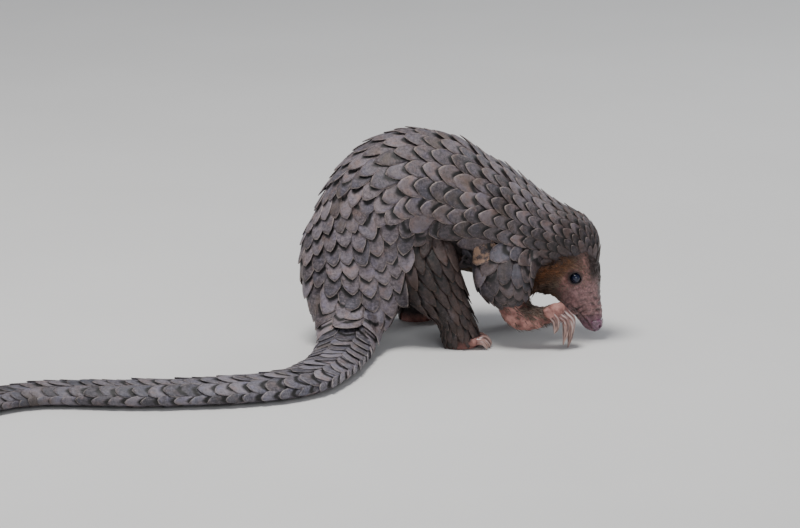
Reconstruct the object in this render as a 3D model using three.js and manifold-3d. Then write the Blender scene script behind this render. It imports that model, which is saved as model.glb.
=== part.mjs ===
// Life-size still model of a white-bellied tree pangolin that stands hunched with its nose to the ground.
// Millimetres, +Z up, the floor at Z = 0. The animal heads towards +X and its right side is towards -Y.
import * as THREE from 'three';
import { mergeVertices } from 'three/addons/utils/BufferGeometryUtils.js';
import Module from 'manifold-3d';

const wasm = await Module();
wasm.setup();

// Clearance between neighbouring pieces, and the reach of a cutting slab past what it cuts
const GAP = 0.3;

// Scales of the trunk: rows along the back, columns round the girth, and how far the free edge stands up
const TRUNK_COLUMNS = 20;
const TRUNK_PITCH = 19.6;
const NECK_PITCH = 14;
const HEAD_PITCH = 10.5;
const FACE_PITCH = 15;
const TRUNK_LIFT = 2.6;
const HEAD_LIFT = 1.3;

// Scales of the tail: mid row, a row each side of it, the two edges and the underside; and the shares of the
// tail's length where it is parted
const TAIL_COLUMNS = 8;
const TAIL_PITCH = 20;
const TAIL_LIFT = 2.4;
const TAIL_PARTS = [0.26, 0.5, 0.74];

// Scales of the limbs, and the length from the foot or cuff that stays bare
const LIMB_COLUMNS = 8;
const LIMB_PITCH = 17;
const LIMB_LIFT = 2;
const HIND_BARE = 8;
const FORE_BARE = -8;

// Where the scales stop: turn from the back at the throat and at the belly, and distance from the nose at the
// brow and at the temples
const THROAT_EDGE = 1.75;
const BELLY_EDGE = 2.35;
const BROW = 80;
const TEMPLE = 97;

// Claws and bare paws: thickness of a claw at its root, and the places of five toes across a paw
const HIND_CLAW = 6.5;
const FORE_CLAW = 8.5;
const TOES = [-1.5, -0.75, 0, 0.75, 1.5];
const HIND_TOE_SPACE = 7;
const FORE_TOE_SPACE = 6;
const FORE_FAN = 4;
const CLAW_SIDES = 5;
const CLAW_RINGS = 3;
const PAW_SIDES = 12;
const PAW_RINGS = 8;

// Shape of one scale, as shares of its pitch and of the space between two columns
const CORNER_BACK = 0.14;
const CORNER_OUT = 0.37;
const CORNER_LIFT = 0.86;
const SIDE_LIFT = 0.4;
const TIP_STRAY = 0.14;
const LIFT_STRAY = 0.35;

// A free edge lower than this lies flat on the skin
const LEAST_LIFT = 0.6;

// Face, by the distance back from the end of the nose and the turn from the brow
const EYE = { back: 60, turn: 1.66, radius: 5.2, sunk: 2.6 };
const LID = { radius: 6.2, thick: 1.3, rise: 0.7, narrow: 1 };
const EAR = { back: 84, turn: 1.74, radius: 5.6, thick: 1.3, narrow: 0.72, pit: 3.5 };
const NOSTRIL = { back: 5, turn: 0.85, radius: 1.5 };
const NOSE_BACK = 12;
const MOUTH = { corner: 33, front: 15.5, cornerTurn: 2.3, groove: 0.8, lip: 1.3, lipTurn: 0.2 };

// Stations along the trunk from the tail root to the nose: place, way of the back, half width, and height over
// and under the centre line
const trunkStations = [
  { at: [-3, -78, 14], back: [0, -0.55, 0.83], half: 28, over: 15, under: 12 },
  { at: [0, -52, 26], back: [0, -0.66, 0.75], half: 33, over: 22, under: 18 },
  { at: [5, -26, 58], back: [-0.12, -0.8, 0.58], half: 45, over: 36, under: 30 },
  { at: [14, -6, 92], back: [-0.42, -0.72, 0.55], half: 58, over: 50, under: 42 },
  { at: [32, 10, 125], back: [-0.74, -0.25, 0.62], half: 62, over: 60, under: 46 },
  { at: [62, 16, 146], back: [-0.34, -0.1, 0.93], half: 62, over: 62, under: 64 },
  { at: [100, 16, 144], back: [0.02, -0.05, 1], half: 61, over: 58, under: 77 },
  { at: [140, 13, 127], back: [0.34, 0, 0.94], half: 55, over: 45, under: 67 },
  { at: [176, 7, 110], back: [0.46, 0, 0.89], half: 47, over: 37.5, under: 57 },
  { at: [203, 0, 93], back: [0.58, 0, 0.81], half: 36, over: 38.5, under: 51 },
  { at: [219, -4, 79], back: [0.78, 0, 0.62], half: 28, over: 37, under: 43 },
  { at: [230, -7, 62], back: [0.93, 0, 0.37], half: 21, over: 22, under: 36 },
  { at: [237, -10, 43], back: [0.98, 0, 0.2], half: 14.5, over: 14, under: 26 },
  { at: [242, -12, 28], back: [0.98, 0, 0.2], half: 10, over: 10, under: 17.5 },
  { at: [245, -13.5, 16], back: [0.98, 0, 0.2], half: 8, over: 8, under: 12.5 },
  { at: [246.5, -14, 8], back: [0.98, 0, 0.2], half: 5, over: 5, under: 8 },
];

// Stations of the tail from its tip, over the floor, up to the root
const tailStations = [
  { at: [-404, -350, 4], back: [0, 0, 1], half: 6, over: 3.5, under: 4 },
  { at: [-382, -324, 6], back: [0, 0, 1], half: 15, over: 6, under: 6 },
  { at: [-350, -290, 8], back: [0, 0, 1], half: 22, over: 9, under: 8 },
  { at: [-300, -258, 8], back: [0, 0, 1], half: 26, over: 11, under: 9 },
  { at: [-200, -260, 9], back: [0, 0, 1], half: 28, over: 13, under: 10 },
  { at: [-110, -248, 9], back: [0, 0, 1], half: 30, over: 13, under: 10 },
  { at: [-52, -221, 9], back: [0, 0, 1], half: 31, over: 13, under: 10 },
  { at: [-24, -174, 9], back: [0, 0, 1], half: 29, over: 13, under: 10 },
  { at: [-9, -124, 10], back: [0, -0.1, 1], half: 28, over: 13, under: 11 },
  { at: [-4, -92, 13], back: [0, -0.4, 0.9], half: 28, over: 14, under: 12 },
  { at: [-1, -65, 20], back: [0, -0.6, 0.8], half: 30, over: 18, under: 15 },
  { at: [1, -45, 32], back: [0, -0.7, 0.72], half: 35, over: 23, under: 20 },
];

// Swellings of the trunk over hips, shoulders and the crown of the head, and the hollow behind the withers:
// place along the trunk and round it, reach and height
const swellings = [
  { along: 78, round: 1.5, reach: 46, spread: 0.62, height: 12 },
  { along: 78, round: -1.5, reach: 46, spread: 0.62, height: 8 },
  { along: 262, round: 1.55, reach: 34, spread: 0.6, height: 9 },
  { along: 262, round: -1.55, reach: 34, spread: 0.6, height: 9 },
  { along: 212, round: 0, reach: 17, spread: 1.3, height: -4.6 },
  { along: 243, round: 0, reach: 19, spread: 1.3, height: -7.2 },
  { along: 352, round: 0, reach: 17, spread: 0.9, height: 5 },
];

const vector = (list) => new THREE.Vector3(...list);

// A number from 0 to 1 that stays the same for the same two whole numbers
function draw(row, column) {
  const wave = Math.sin(row * 127.1 + column * 311.7 + 74.7) * 43758.5453;
  return wave - Math.floor(wave);
}

// A bent tube of oval section through a list of stations
class Tube {
  constructor(stations, bumps = []) {
    this.path = new THREE.CatmullRomCurve3(stations.map((station) => vector(station.at)));
    this.path.arcLengthDivisions = 600;
    this.backs = new THREE.CatmullRomCurve3(stations.map((station) => vector(station.back)));
    const sizes = stations.map(({ half, over, under }) => new THREE.Vector3(half, over, under));
    this.sizes = new THREE.CatmullRomCurve3(sizes);
    this.length = this.path.getLength();
    this.bumps = bumps;
  }

  // Centre, directions and sizes at a length along the tube
  frame(along) {
    const share = THREE.MathUtils.clamp(along / this.length, 0, 1);
    const t = this.path.getUtoTmapping(share);
    const ahead = this.path.getTangent(t);
    const back = this.backs.getPoint(t);
    back.addScaledVector(ahead, -back.dot(ahead)).normalize();
    const right = new THREE.Vector3().crossVectors(ahead, back);
    const [half, over, under] = this.sizes.getPoint(t).toArray();
    return { centre: this.path.getPoint(t), ahead, back, right, half, over, under };
  }

  // End point of the tube's middle, kept off the floor's underside
  pole(along) {
    const { centre } = this.frame(along);
    centre.z = Math.max(centre.z, 0);
    return centre;
  }

  // Height of the swellings at a place on the tube
  swell(along, round) {
    let height = 0;
    for (const bump of this.bumps) {
      const far = ((along - bump.along) / bump.reach) ** 2 + ((round - bump.round) / bump.spread) ** 2;
      height += bump.height * Math.exp(-far);
    }
    return height;
  }

  // Point on the tube, `lift` above its skin; nothing goes below the floor
  point(along, round, lift = 0) {
    const { centre, back, right, half, over, under } = this.frame(along);
    const turn = Math.atan2(Math.sin(round), Math.cos(round));
    const height = Math.cos(turn) > 0 ? over : under;
    const outward = right.clone().multiplyScalar(Math.sin(turn) * height);
    outward.addScaledVector(back, Math.cos(turn) * half).normalize();
    const spot = centre.addScaledVector(right, Math.sin(turn) * half);
    spot.addScaledVector(back, Math.cos(turn) * height);
    spot.addScaledVector(outward, lift + this.swell(along, turn));
    spot.z = Math.max(spot.z, 0);
    return spot;
  }
}

// A closed mesh that grows one face at a time, with like points shared
class Shell {
  constructor() {
    this.places = [];
    this.faces = [];
    this.known = new Map();
  }

  add(spot) {
    const key = spot.toArray().map((value) => Math.round(value * 1000)).join(' ');
    if (!this.known.has(key)) {
      this.known.set(key, this.places.length / 3);
      this.places.push(...spot.toArray());
    }
    return this.known.get(key);
  }

  face(...corners) {
    for (let k = 1; k + 1 < corners.length; k += 1) {
      const [a, b, c] = [corners[0], corners[k], corners[k + 1]];
      if (a !== b && b !== c && c !== a) this.faces.push(a, b, c);
    }
  }

  solid() {
    const mesh = new wasm.Mesh({
      numProp: 3,
      vertProperties: new Float32Array(this.places),
      triVerts: new Uint32Array(this.faces),
    });
    return new wasm.Manifold(mesh);
  }
}

// Cover a tube with scales on a half-offset lattice. The free edge of a scale is corner, tip, corner; it stands
// up from the scales behind it, and the scale runs down to the skin at its root.
function scaledSolid(tube, columns, rows, liftAt) {
  const shell = new Shell();
  const step = (2 * Math.PI) / columns;
  const count = rows.length - 2;
  const lifts = new Map();
  const lift = (row, column) => {
    const key = row * columns + ((column % columns) + columns) % columns;
    if (!lifts.has(key)) {
      const inside = row > 1 && row < count;
      const turn = Math.atan2(Math.sin(column * step), Math.cos(column * step));
      const stray = 1 + LIFT_STRAY * (draw(row, key % columns) - 0.5);
      const height = inside ? liftAt(rows[row], turn) * stray : 0;
      lifts.set(key, height > LEAST_LIFT ? height : 0);
    }
    return lifts.get(key);
  };
  const pitch = (row) => rows[Math.min(row + 1, count + 1)] - rows[Math.min(row, count)];
  const tip = (row, column, height) => {
    const wrapped = ((column % columns) + columns) % columns;
    const stray = lift(row, column) > 0 ? TIP_STRAY * (draw(row + 31, wrapped) - 0.5) : 0;
    return shell.add(tube.point(rows[row] + stray * 2 * pitch(row), column * step, height));
  };
  const corner = (row, column, side, height) => {
    const along = rows[row] + CORNER_BACK * 2 * pitch(row);
    return shell.add(tube.point(along, (column + side * CORNER_OUT) * step, height));
  };
  const top = (row, column) => CORNER_LIFT * lift(row, column);
  const middle = (row, column, side) => Math.min(SIDE_LIFT * lift(row - 1, column + side), top(row, column));

  for (let row = 0; row < count; row += 1) {
    for (let column = row % 2; column < columns; column += 2) {
      const tipTop = tip(row, column, lift(row, column));
      const tipFoot = tip(row, column, 0);
      const tipNext = tip(row + 2, column, 0);
      const [left, right] = [-1, 1].map((side) => ({
        top: corner(row, column, side, top(row, column)),
        middle: row > 0 ? corner(row, column, side, middle(row, column, side)) : corner(row, column, side, 0),
        foot: corner(row, column, side, 0),
        flank: corner(row + 1, column + side, -side, middle(row + 1, column + side, -side)),
        flankFoot: corner(row + 1, column + side, -side, 0),
        next: corner(row + 2, column, side, 0),
      }));
      shell.face(tipTop, right.top, left.top);
      shell.face(left.top, right.top, right.flank, left.flank);
      shell.face(left.flank, right.flank, tipNext);
      shell.face(right.flank, right.next, tipNext);
      shell.face(left.flank, tipNext, left.next);
      if (row > 1) {
        shell.face(tipFoot, right.foot, right.middle, right.top, tipTop);
        shell.face(tipFoot, tipTop, left.top, left.middle, left.foot);
      }
      if (row > 0) {
        shell.face(right.flank, right.top, right.middle, right.flankFoot);
        shell.face(left.top, left.flank, left.flankFoot, left.middle);
      }
    }
  }

  // Close both ends on a pole
  const edge = (row, column) => [corner(row, column, -1, 0), tip(row, column, 0), corner(row, column, 1, 0)];
  const rim = (row) => {
    const ring = [];
    for (let column = row % 2; column < columns + (row % 2); column += 2) {
      ring.push(...edge(row, column), ...edge(row + 1, column + 1));
    }
    return ring;
  };
  const close = (ring, pole, ahead) => {
    ring.forEach((spot, k) => {
      const next = ring[(k + 1) % ring.length];
      if (ahead) shell.face(spot, next, pole);
      else shell.face(next, spot, pole);
    });
  };
  close(rim(0), shell.add(tube.pole(0)), false);
  close(rim(count), shell.add(tube.pole(tube.length)), true);
  return shell.solid();
}

// Half-pitch rows from one end of a tube to the other, with the pitch as a function of the place
function latticeRows(length, pitchAt, margin = 2) {
  const rows = [margin];
  while (rows.at(-1) < length - margin) rows.push(rows.at(-1) + pitchAt(rows.at(-1)) / 2);
  const scale = (length - 2 * margin) / (rows.at(-1) - margin);
  if (rows.length % 2) rows.push(rows.at(-1) + pitchAt(length) / 4);
  return rows.map((row) => Math.min(margin + (row - margin) * scale, length - 0.4 * margin));
}

const smooth = THREE.MathUtils.smoothstep;

const trunk = new Tube(trunkStations, swellings);
const tail = new Tube(tailStations);

// Scales cover the back and flanks up to the belly, and the head as far as the brow
function trunkLift(along, round) {
  const left = trunk.length - along;
  const side = Math.abs(round);
  const edge = THREE.MathUtils.lerp(THROAT_EDGE, BELLY_EDGE, smooth(left, 100, 160));
  const belly = 1 - smooth(side, edge - 0.12, edge + 0.12);
  const temple = smooth(side, 1.1, 1.35) * (1 - smooth(left, TEMPLE - 5, TEMPLE + 5));
  const crown = smooth(left, BROW - 4, BROW + 4) * (1 - temple);
  const lift = THREE.MathUtils.lerp(HEAD_LIFT, TRUNK_LIFT, smooth(left, 90, 150));
  return lift * belly * crown;
}

function trunkPitch(along) {
  const left = trunk.length - along;
  const neck = THREE.MathUtils.lerp(NECK_PITCH, TRUNK_PITCH, smooth(left, 120, 190));
  const head = THREE.MathUtils.lerp(FACE_PITCH, HEAD_PITCH, smooth(left, 55, 80));
  return THREE.MathUtils.lerp(head, neck, smooth(left, 80, 115));
}

function tailLift(along, round) {
  const under = 1 - smooth(Math.abs(round), 2, 2.3);
  return TAIL_LIFT * under * smooth(along, 0, 60);
}

// A smooth closed tube of rings, for skin, claws, lids and grooves
function smoothSolid(tube, sides, rings) {
  const shell = new Shell();
  const around = (along) => Array.from({ length: sides }, (_, k) => (
    shell.add(tube.point(along, (k * 2 * Math.PI) / sides))
  ));
  const hoops = Array.from({ length: rings + 1 }, (_, k) => around((tube.length * k) / rings));
  const [start, end] = [0, tube.length].map((along) => shell.add(tube.pole(along)));
  for (let side = 0; side < sides; side += 1) {
    const next = (side + 1) % sides;
    shell.face(hoops[0][next], hoops[0][side], start);
    shell.face(hoops[rings][side], hoops[rings][next], end);
    for (let ring = 0; ring < rings; ring += 1) {
      shell.face(hoops[ring][side], hoops[ring][next], hoops[ring + 1][next], hoops[ring + 1][side]);
    }
  }
  return shell.solid();
}

// Solid of a three.js geometry
function geometrySolid(geometry) {
  geometry.deleteAttribute('normal');
  geometry.deleteAttribute('uv');
  const merged = mergeVertices(geometry, 1e-4);
  return new wasm.Manifold(new wasm.Mesh({
    numProp: 3,
    vertProperties: new Float32Array(merged.attributes.position.array),
    triVerts: new Uint32Array(merged.index.array),
  }));
}

// A thin plate that parts what it crosses: its middle, the way it faces, one way along it, and its two sizes
function slab(centre, facing, way, wide, deep) {
  const normal = vector(facing).normalize();
  const first = vector(way).addScaledVector(normal, -vector(way).dot(normal)).normalize();
  const second = new THREE.Vector3().crossVectors(normal, first);
  const plate = new THREE.BoxGeometry(wide, deep, GAP);
  plate.applyMatrix4(new THREE.Matrix4().makeBasis(first, second, normal));
  plate.translate(...centre);
  return geometrySolid(plate);
}

function slabAcross(tube, along, wide, deep) {
  const { centre, ahead, right } = tube.frame(along);
  return slab(centre.toArray(), ahead.toArray(), right.toArray(), wide, deep);
}

const largest = (solid) => solid.decompose().sort((one, two) => two.volume() - one.volume())[0];

// Join a list of solids into one body
const join = (solids) => largest(solids.reduce((sum, next) => sum.add(next)));

// Part a solid with plates, and name each piece by the spot that its middle lies nearest to
function part(solid, plates, spots) {
  const pieces = plates.reduce((rest, plate) => rest.subtract(plate), solid).decompose();
  const named = {};
  for (const piece of pieces) {
    const { min, max } = piece.boundingBox();
    const middle = vector(min).add(vector(max)).multiplyScalar(0.5);
    const far = (name) => middle.distanceTo(vector(spots[name]));
    const name = Object.keys(spots).reduce((best, next) => (far(next) < far(best) ? next : best));
    if (!named[name] || piece.volume() > named[name].volume()) named[name] = piece;
  }
  return named;
}

// A claw from its root to its tip, curved in between
function claw(root, bend, tip, thick) {
  const shares = [1, 0.95, 0.7, 0.16];
  const spots = [root, vector(root).lerp(vector(bend), 0.55).toArray(), bend, tip];
  const stations = spots.map((at, k) => ({
    at,
    back: [0.2, 0.1, 1],
    half: (thick * shares[k]) / 2,
    over: (thick * shares[k]) * 0.6,
    under: (thick * shares[k]) * 0.5,
  }));
  return smoothSolid(new Tube(stations), CLAW_SIDES, CLAW_RINGS);
}

const limb = (stations) => new Tube(stations.map(([x, y, z, half, over, under, back]) => (
  { at: [x, y, z], back, half, over, under }
)));

// Scaled parts of the limbs from the foot or cuff up into the body: place, half width fore and aft, depth
// outwards and inwards, and the outward way
const outRight = [0, -1, 0.12];
const outLeft = [0, 1, 0.12];
const limbs = {
  hindRight: limb([
    [110, -46, -5, 17, 14, 13, outRight],
    [110, -46, 12, 19, 15, 14, outRight],
    [106, -46, 30, 18, 15, 14, outRight],
    [93, -44, 50, 26, 18, 17, outRight],
    [78, -37, 70, 36, 24, 22, outRight],
    [64, -20, 98, 38, 24, 22, outRight],
  ]),
  hindLeft: limb([
    [66, 62, -5, 17, 14, 13, outLeft],
    [66, 62, 12, 19, 15, 14, outLeft],
    [66, 61, 34, 18, 15, 14, outLeft],
    [62, 57, 58, 22, 18, 17, outLeft],
    [56, 46, 84, 29, 22, 22, outLeft],
    [52, 34, 104, 28, 20, 22, outLeft],
  ]),
  foreRight: limb([
    [163, -48, 42, 13, 11, 11, outRight],
    [160, -47, 52, 21, 14, 13, outRight],
    [155, -43, 68, 31, 18, 16, outRight],
    [154, -33, 86, 33, 18, 18, outRight],
    [157, -17, 104, 28, 16, 18, outRight],
  ]),
  foreLeft: limb([
    [163, 52, 30, 12, 10, 10, outLeft],
    [158, 52, 42, 18, 13, 12, outLeft],
    [155, 50, 60, 27, 17, 15, outLeft],
    [155, 42, 82, 31, 18, 18, outLeft],
    [158, 28, 102, 28, 16, 18, outLeft],
  ]),
};

// Bare forearms and paws
const forearms = {
  right: limb([
    [213, -52, 36, 6, 6, 6, [0, -1, 0.5]],
    [206, -51, 38, 8.5, 7.5, 8, [0, -1, 0.5]],
    [195, -51, 33, 8, 7, 7, [0, -1, 0.2]],
    [184, -51, 30, 10.5, 9, 9, outRight],
    [169, -50, 31, 11.5, 10, 10, outRight],
    [160, -48, 42, 12, 10, 10, outRight],
    [158, -47, 56, 12, 10, 10, outRight],
  ]),
  left: limb([
    [178, 46, -5, 13, 11, 11, outLeft],
    [177, 46, 6, 14, 12, 12, outLeft],
    [172, 49, 18, 10.5, 10, 10, outLeft],
    [166, 51, 32, 11, 10, 10, outLeft],
    [160, 52, 48, 11, 10, 10, outLeft],
  ]),
};

// A limb with scales from `bare` upwards, lower on its inner side
function scaledLimb(tube, bare) {
  const lift = (along, round) => (
    LIMB_LIFT * smooth(along, bare, bare + 8) * (1 - 0.5 * smooth(Math.abs(round), 2.2, 2.6))
  );
  return scaledSolid(tube, LIMB_COLUMNS, latticeRows(tube.length, () => LIMB_PITCH), lift);
}

const trunkSolid = scaledSolid(trunk, TRUNK_COLUMNS, latticeRows(trunk.length, trunkPitch), trunkLift);
const tailSolid = scaledSolid(tail, TAIL_COLUMNS, latticeRows(tail.length, () => TAIL_PITCH), tailLift);

// Claws of a flat hind foot and of the two front paws: root, bend and tip
const hindClaws = (x, y) => TOES.map((toe) => {
  const [root, side] = [x - 1.6 * toe * toe, y + HIND_TOE_SPACE * toe];
  return claw([root, side, 8], [root + 9, side + toe, 8], [root + 14, side + 1.5 * toe, 0.5], HIND_CLAW);
});
const foreRightClaws = TOES.map((toe) => {
  const reach = 1 - 0.22 * toe * toe;
  const [root, side] = [208 - FORE_FAN * toe - 1.5 * toe * toe, -51 - FORE_TOE_SPACE * toe];
  const bend = [root + 11 * reach, side, 34 - 6 * reach];
  return claw([root, side, 38], bend, [root + 9 * reach, side, 34 - 34 * reach], FORE_CLAW);
});
const foreLeftClaws = TOES.map((toe) => {
  const reach = 1 - 0.22 * toe * toe;
  const [root, side] = [184 - 1.5 * toe * toe, 46 + FORE_TOE_SPACE * toe];
  return claw([root, side, 9], [root + 14 * reach, side, 12], [root + 24 * reach, side, 0.5], FORE_CLAW);
});

const body = join([
  trunkSolid,
  scaledLimb(limbs.hindRight, HIND_BARE),
  scaledLimb(limbs.hindLeft, HIND_BARE),
  scaledLimb(limbs.foreRight, FORE_BARE),
  scaledLimb(limbs.foreLeft, FORE_BARE),
  smoothSolid(forearms.right, PAW_SIDES, PAW_RINGS),
  smoothSolid(forearms.left, PAW_SIDES, PAW_RINGS),
  ...hindClaws(126, -46),
  ...hindClaws(82, 62),
  ...foreRightClaws,
  ...foreLeftClaws,
]);

// A place on the face: the spot on the skin and the way out of it
function facePlace(back, turn) {
  const along = trunk.length - back;
  const spot = trunk.point(along, turn);
  return { spot, out: trunk.point(along, turn, 1).sub(spot).normalize() };
}

// A three.js shape moved to a place on the face, `rise` over the skin, its own Z pointing out
function onFace(geometry, { spot, out }, rise = 0) {
  geometry.applyQuaternion(new THREE.Quaternion().setFromUnitVectors(new THREE.Vector3(0, 0, 1), out));
  geometry.translate(...spot.clone().addScaledVector(out, rise));
  return geometrySolid(geometry);
}

const sides = { right: 1, left: -1 };

function eyeball(side, extra = 0) {
  const ball = new THREE.SphereGeometry(EYE.radius + extra, 10, 7);
  return onFace(ball, facePlace(EYE.back, sides[side] * EYE.turn), -EYE.sunk);
}

function ring(radius, thick, narrow, steps) {
  const torus = new THREE.TorusGeometry(radius, thick, 4, steps);
  torus.scale(narrow, 1, 1);
  return torus;
}

// A thin rod that follows the line of the mouth from one corner round the front to the other
function mouthRod(radius, moreTurn) {
  const { corner, front, cornerTurn } = MOUTH;
  const shares = [1, 0.66, 0.33, 0.08, 0, 0.08, 0.33, 0.66, 1];
  const stations = shares.map((share, k) => {
    const turn = Math.PI - (Math.PI - cornerTurn - moreTurn) * Math.min(1, share * 1.6) ** 0.5;
    const { spot, out } = facePlace(front + (corner - front) * share, k < 4 ? turn : -turn);
    return { at: spot.toArray(), back: out.toArray(), half: radius, over: radius, under: radius };
  });
  return smoothSolid(new Tube(stations), 4, 10);
}

function face(head) {
  let solid = head.add(mouthRod(MOUTH.lip, MOUTH.lipTurn));
  for (const [side, sign] of Object.entries(sides)) {
    const eyePlace = facePlace(EYE.back, sign * EYE.turn);
    const earPlace = facePlace(EAR.back, sign * EAR.turn);
    solid = solid.add(onFace(ring(LID.radius, LID.thick, LID.narrow, 10), eyePlace, LID.rise));
    solid = solid.add(onFace(ring(EAR.radius, EAR.thick, EAR.narrow, 9), earPlace, 0.4));
    const pit = new THREE.SphereGeometry(EAR.pit, 7, 4);
    pit.scale(EAR.narrow, 1, 0.6);
    solid = solid.subtract(onFace(pit, earPlace, 0.6)).subtract(eyeball(side, GAP));
  }
  return largest(solid.subtract(mouthRod(MOUTH.groove, 0)));
}

function noseWithNostrils(nose) {
  const holes = Object.values(sides).map((sign) => (
    onFace(new THREE.SphereGeometry(NOSTRIL.radius, 7, 5), facePlace(NOSTRIL.back, sign * NOSTRIL.turn))
  ));
  return largest(holes.reduce((solid, hole) => solid.subtract(hole), nose));
}

// Partings of the body: middle of the plate, way it faces, way along it, and its two sizes
const forward = [1, 0, 0];
const across = [0, 1, 0];
const up = [0, 0, 1];
const tailRoot = slab([4, -55, 25], [0, 0.62, 0.78], forward, 140, 110);
const bodyPieces = part(body, [
  tailRoot,
  slab([191, 3, 101], [0.994, 0, -0.11], across, 130, 118),
  slab([204, -1.5, 96], [0.94, 0, -0.34], across, 114, 106),
  slabAcross(trunk, trunk.length - NOSE_BACK, 30, 30),
  slab([88, -46, 41], [-0.3, 0, 0.95], forward, 68, 56),
  slab([62, 59, 62], [-0.1, -0.2, 0.97], forward, 60, 52),
  slab([109, -46, 15], up, forward, 60, 50),
  slab([66, 62, 15], up, forward, 60, 50),
  slab([153, -46, 66], [0, 0.35, 0.94], forward, 78, 48),
  slab([155, 53, 60], [0, -0.35, 0.94], forward, 78, 50),
  slab([162, -48, 43], [0.1, 0, 1], forward, 50, 44),
  slab([163, 52, 31], [0.1, 0, 1], forward, 50, 44),
], {
  torso: [70, 5, 110],
  neck: [185, 4, 100],
  head: [225, -5, 65],
  nose: [246, -14, 13],
  hind_right_leg: [106, -46, 27],
  hind_left_leg: [64, 64, 40],
  hind_right_foot: [112, -46, 7],
  hind_left_foot: [68, 62, 7],
  fore_right_arm: [157, -48, 58],
  fore_left_arm: [157, 54, 52],
  fore_right_paw: [188, -50, 22],
  fore_left_paw: [184, 48, 14],
  tail_core: [0, -70, 15],
});

const tailPieces = part(tailSolid, [
  tailRoot,
  ...TAIL_PARTS.map((share) => slabAcross(tail, tail.length * share, 90, 60)),
], {
  tail_tip: [-330, -300, 8],
  tail_end: [-200, -260, 10],
  tail_middle: [-60, -230, 10],
  tail_base: [0, -110, 20],
});

// The end of the trunk that the tail takes the place of
delete bodyPieces.tail_core;

bodyPieces.head = face(bodyPieces.head);
bodyPieces.nose = noseWithNostrils(bodyPieces.nose);
const pieces = {
  ...bodyPieces,
  ...tailPieces,
  eye_right: eyeball('right'),
  eye_left: eyeball('left'),
};

// Finishes: colour and roughness, and the pieces that don't have the scales' finish
const finishes = {
  scales: [0x5b524d, 0.62],
  skin: [0xa97a63, 0.75],
  nose: [0x8c6074, 0.4],
  eye: [0x0d0b0c, 0.05],
};
const finishOf = {
  nose: 'nose',
  eye_right: 'eye',
  eye_left: 'eye',
  fore_right_paw: 'skin',
  fore_left_paw: 'skin',
  hind_right_foot: 'skin',
  hind_left_foot: 'skin',
};

function pieceMesh(name, solid) {
  const { numProp, vertProperties, triVerts } = solid.getMesh();
  const places = new Float32Array((vertProperties.length / numProp) * 3);
  for (let k = 0; k * 3 < places.length; k += 1) {
    for (let axis = 0; axis < 3; axis += 1) places[k * 3 + axis] = vertProperties[k * numProp + axis];
  }
  const geometry = new THREE.BufferGeometry();
  geometry.setAttribute('position', new THREE.BufferAttribute(places, 3));
  geometry.setIndex(Array.from(triVerts));
  const [color, roughness] = finishes[finishOf[name] ?? 'scales'];
  const mesh = new THREE.Mesh(geometry, new THREE.MeshStandardMaterial({ color, roughness, metalness: 0 }));
  mesh.name = name;
  return mesh;
}

const pangolin = new THREE.Group();
for (const [name, solid] of Object.entries(pieces)) pangolin.add(pieceMesh(name, solid));

// The origin is under the middle of the whole model, on the floor
const middle = new THREE.Box3().setFromObject(pangolin).getCenter(new THREE.Vector3());
pangolin.position.set(-middle.x, -middle.y, 0);

export default pangolin;
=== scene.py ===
"""Looks of a life-size white-bellied tree pangolin: skin, scales, hair, face and claws."""

import math

import bmesh
import bpy
import numpy as np
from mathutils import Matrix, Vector
from mathutils.bvhtree import BVHTree


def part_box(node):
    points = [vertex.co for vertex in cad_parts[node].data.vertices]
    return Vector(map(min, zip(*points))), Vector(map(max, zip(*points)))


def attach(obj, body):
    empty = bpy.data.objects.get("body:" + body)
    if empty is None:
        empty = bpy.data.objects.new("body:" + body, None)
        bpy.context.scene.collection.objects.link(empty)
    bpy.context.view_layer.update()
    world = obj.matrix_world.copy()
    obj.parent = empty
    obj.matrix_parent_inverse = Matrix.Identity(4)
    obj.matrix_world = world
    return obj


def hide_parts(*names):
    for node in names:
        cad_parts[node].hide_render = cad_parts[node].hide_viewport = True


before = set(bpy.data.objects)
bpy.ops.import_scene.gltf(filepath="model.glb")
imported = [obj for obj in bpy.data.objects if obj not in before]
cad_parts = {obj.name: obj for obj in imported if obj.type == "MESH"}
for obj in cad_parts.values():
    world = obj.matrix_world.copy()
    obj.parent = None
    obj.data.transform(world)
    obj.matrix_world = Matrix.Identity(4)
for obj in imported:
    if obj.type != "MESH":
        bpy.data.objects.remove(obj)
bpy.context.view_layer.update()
rng = np.random.default_rng(7)

MM = 0.001
FULL_TURN = 2 * math.pi

# A share or length too small to see, and a length that keeps a division from failing
NUDGE = 1e-4
NEVER_ZERO = 1e-9

# Millimetres below, in the animal's own frame: it heads towards +X, its right side is towards -Y and
# the floor is at 0

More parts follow.
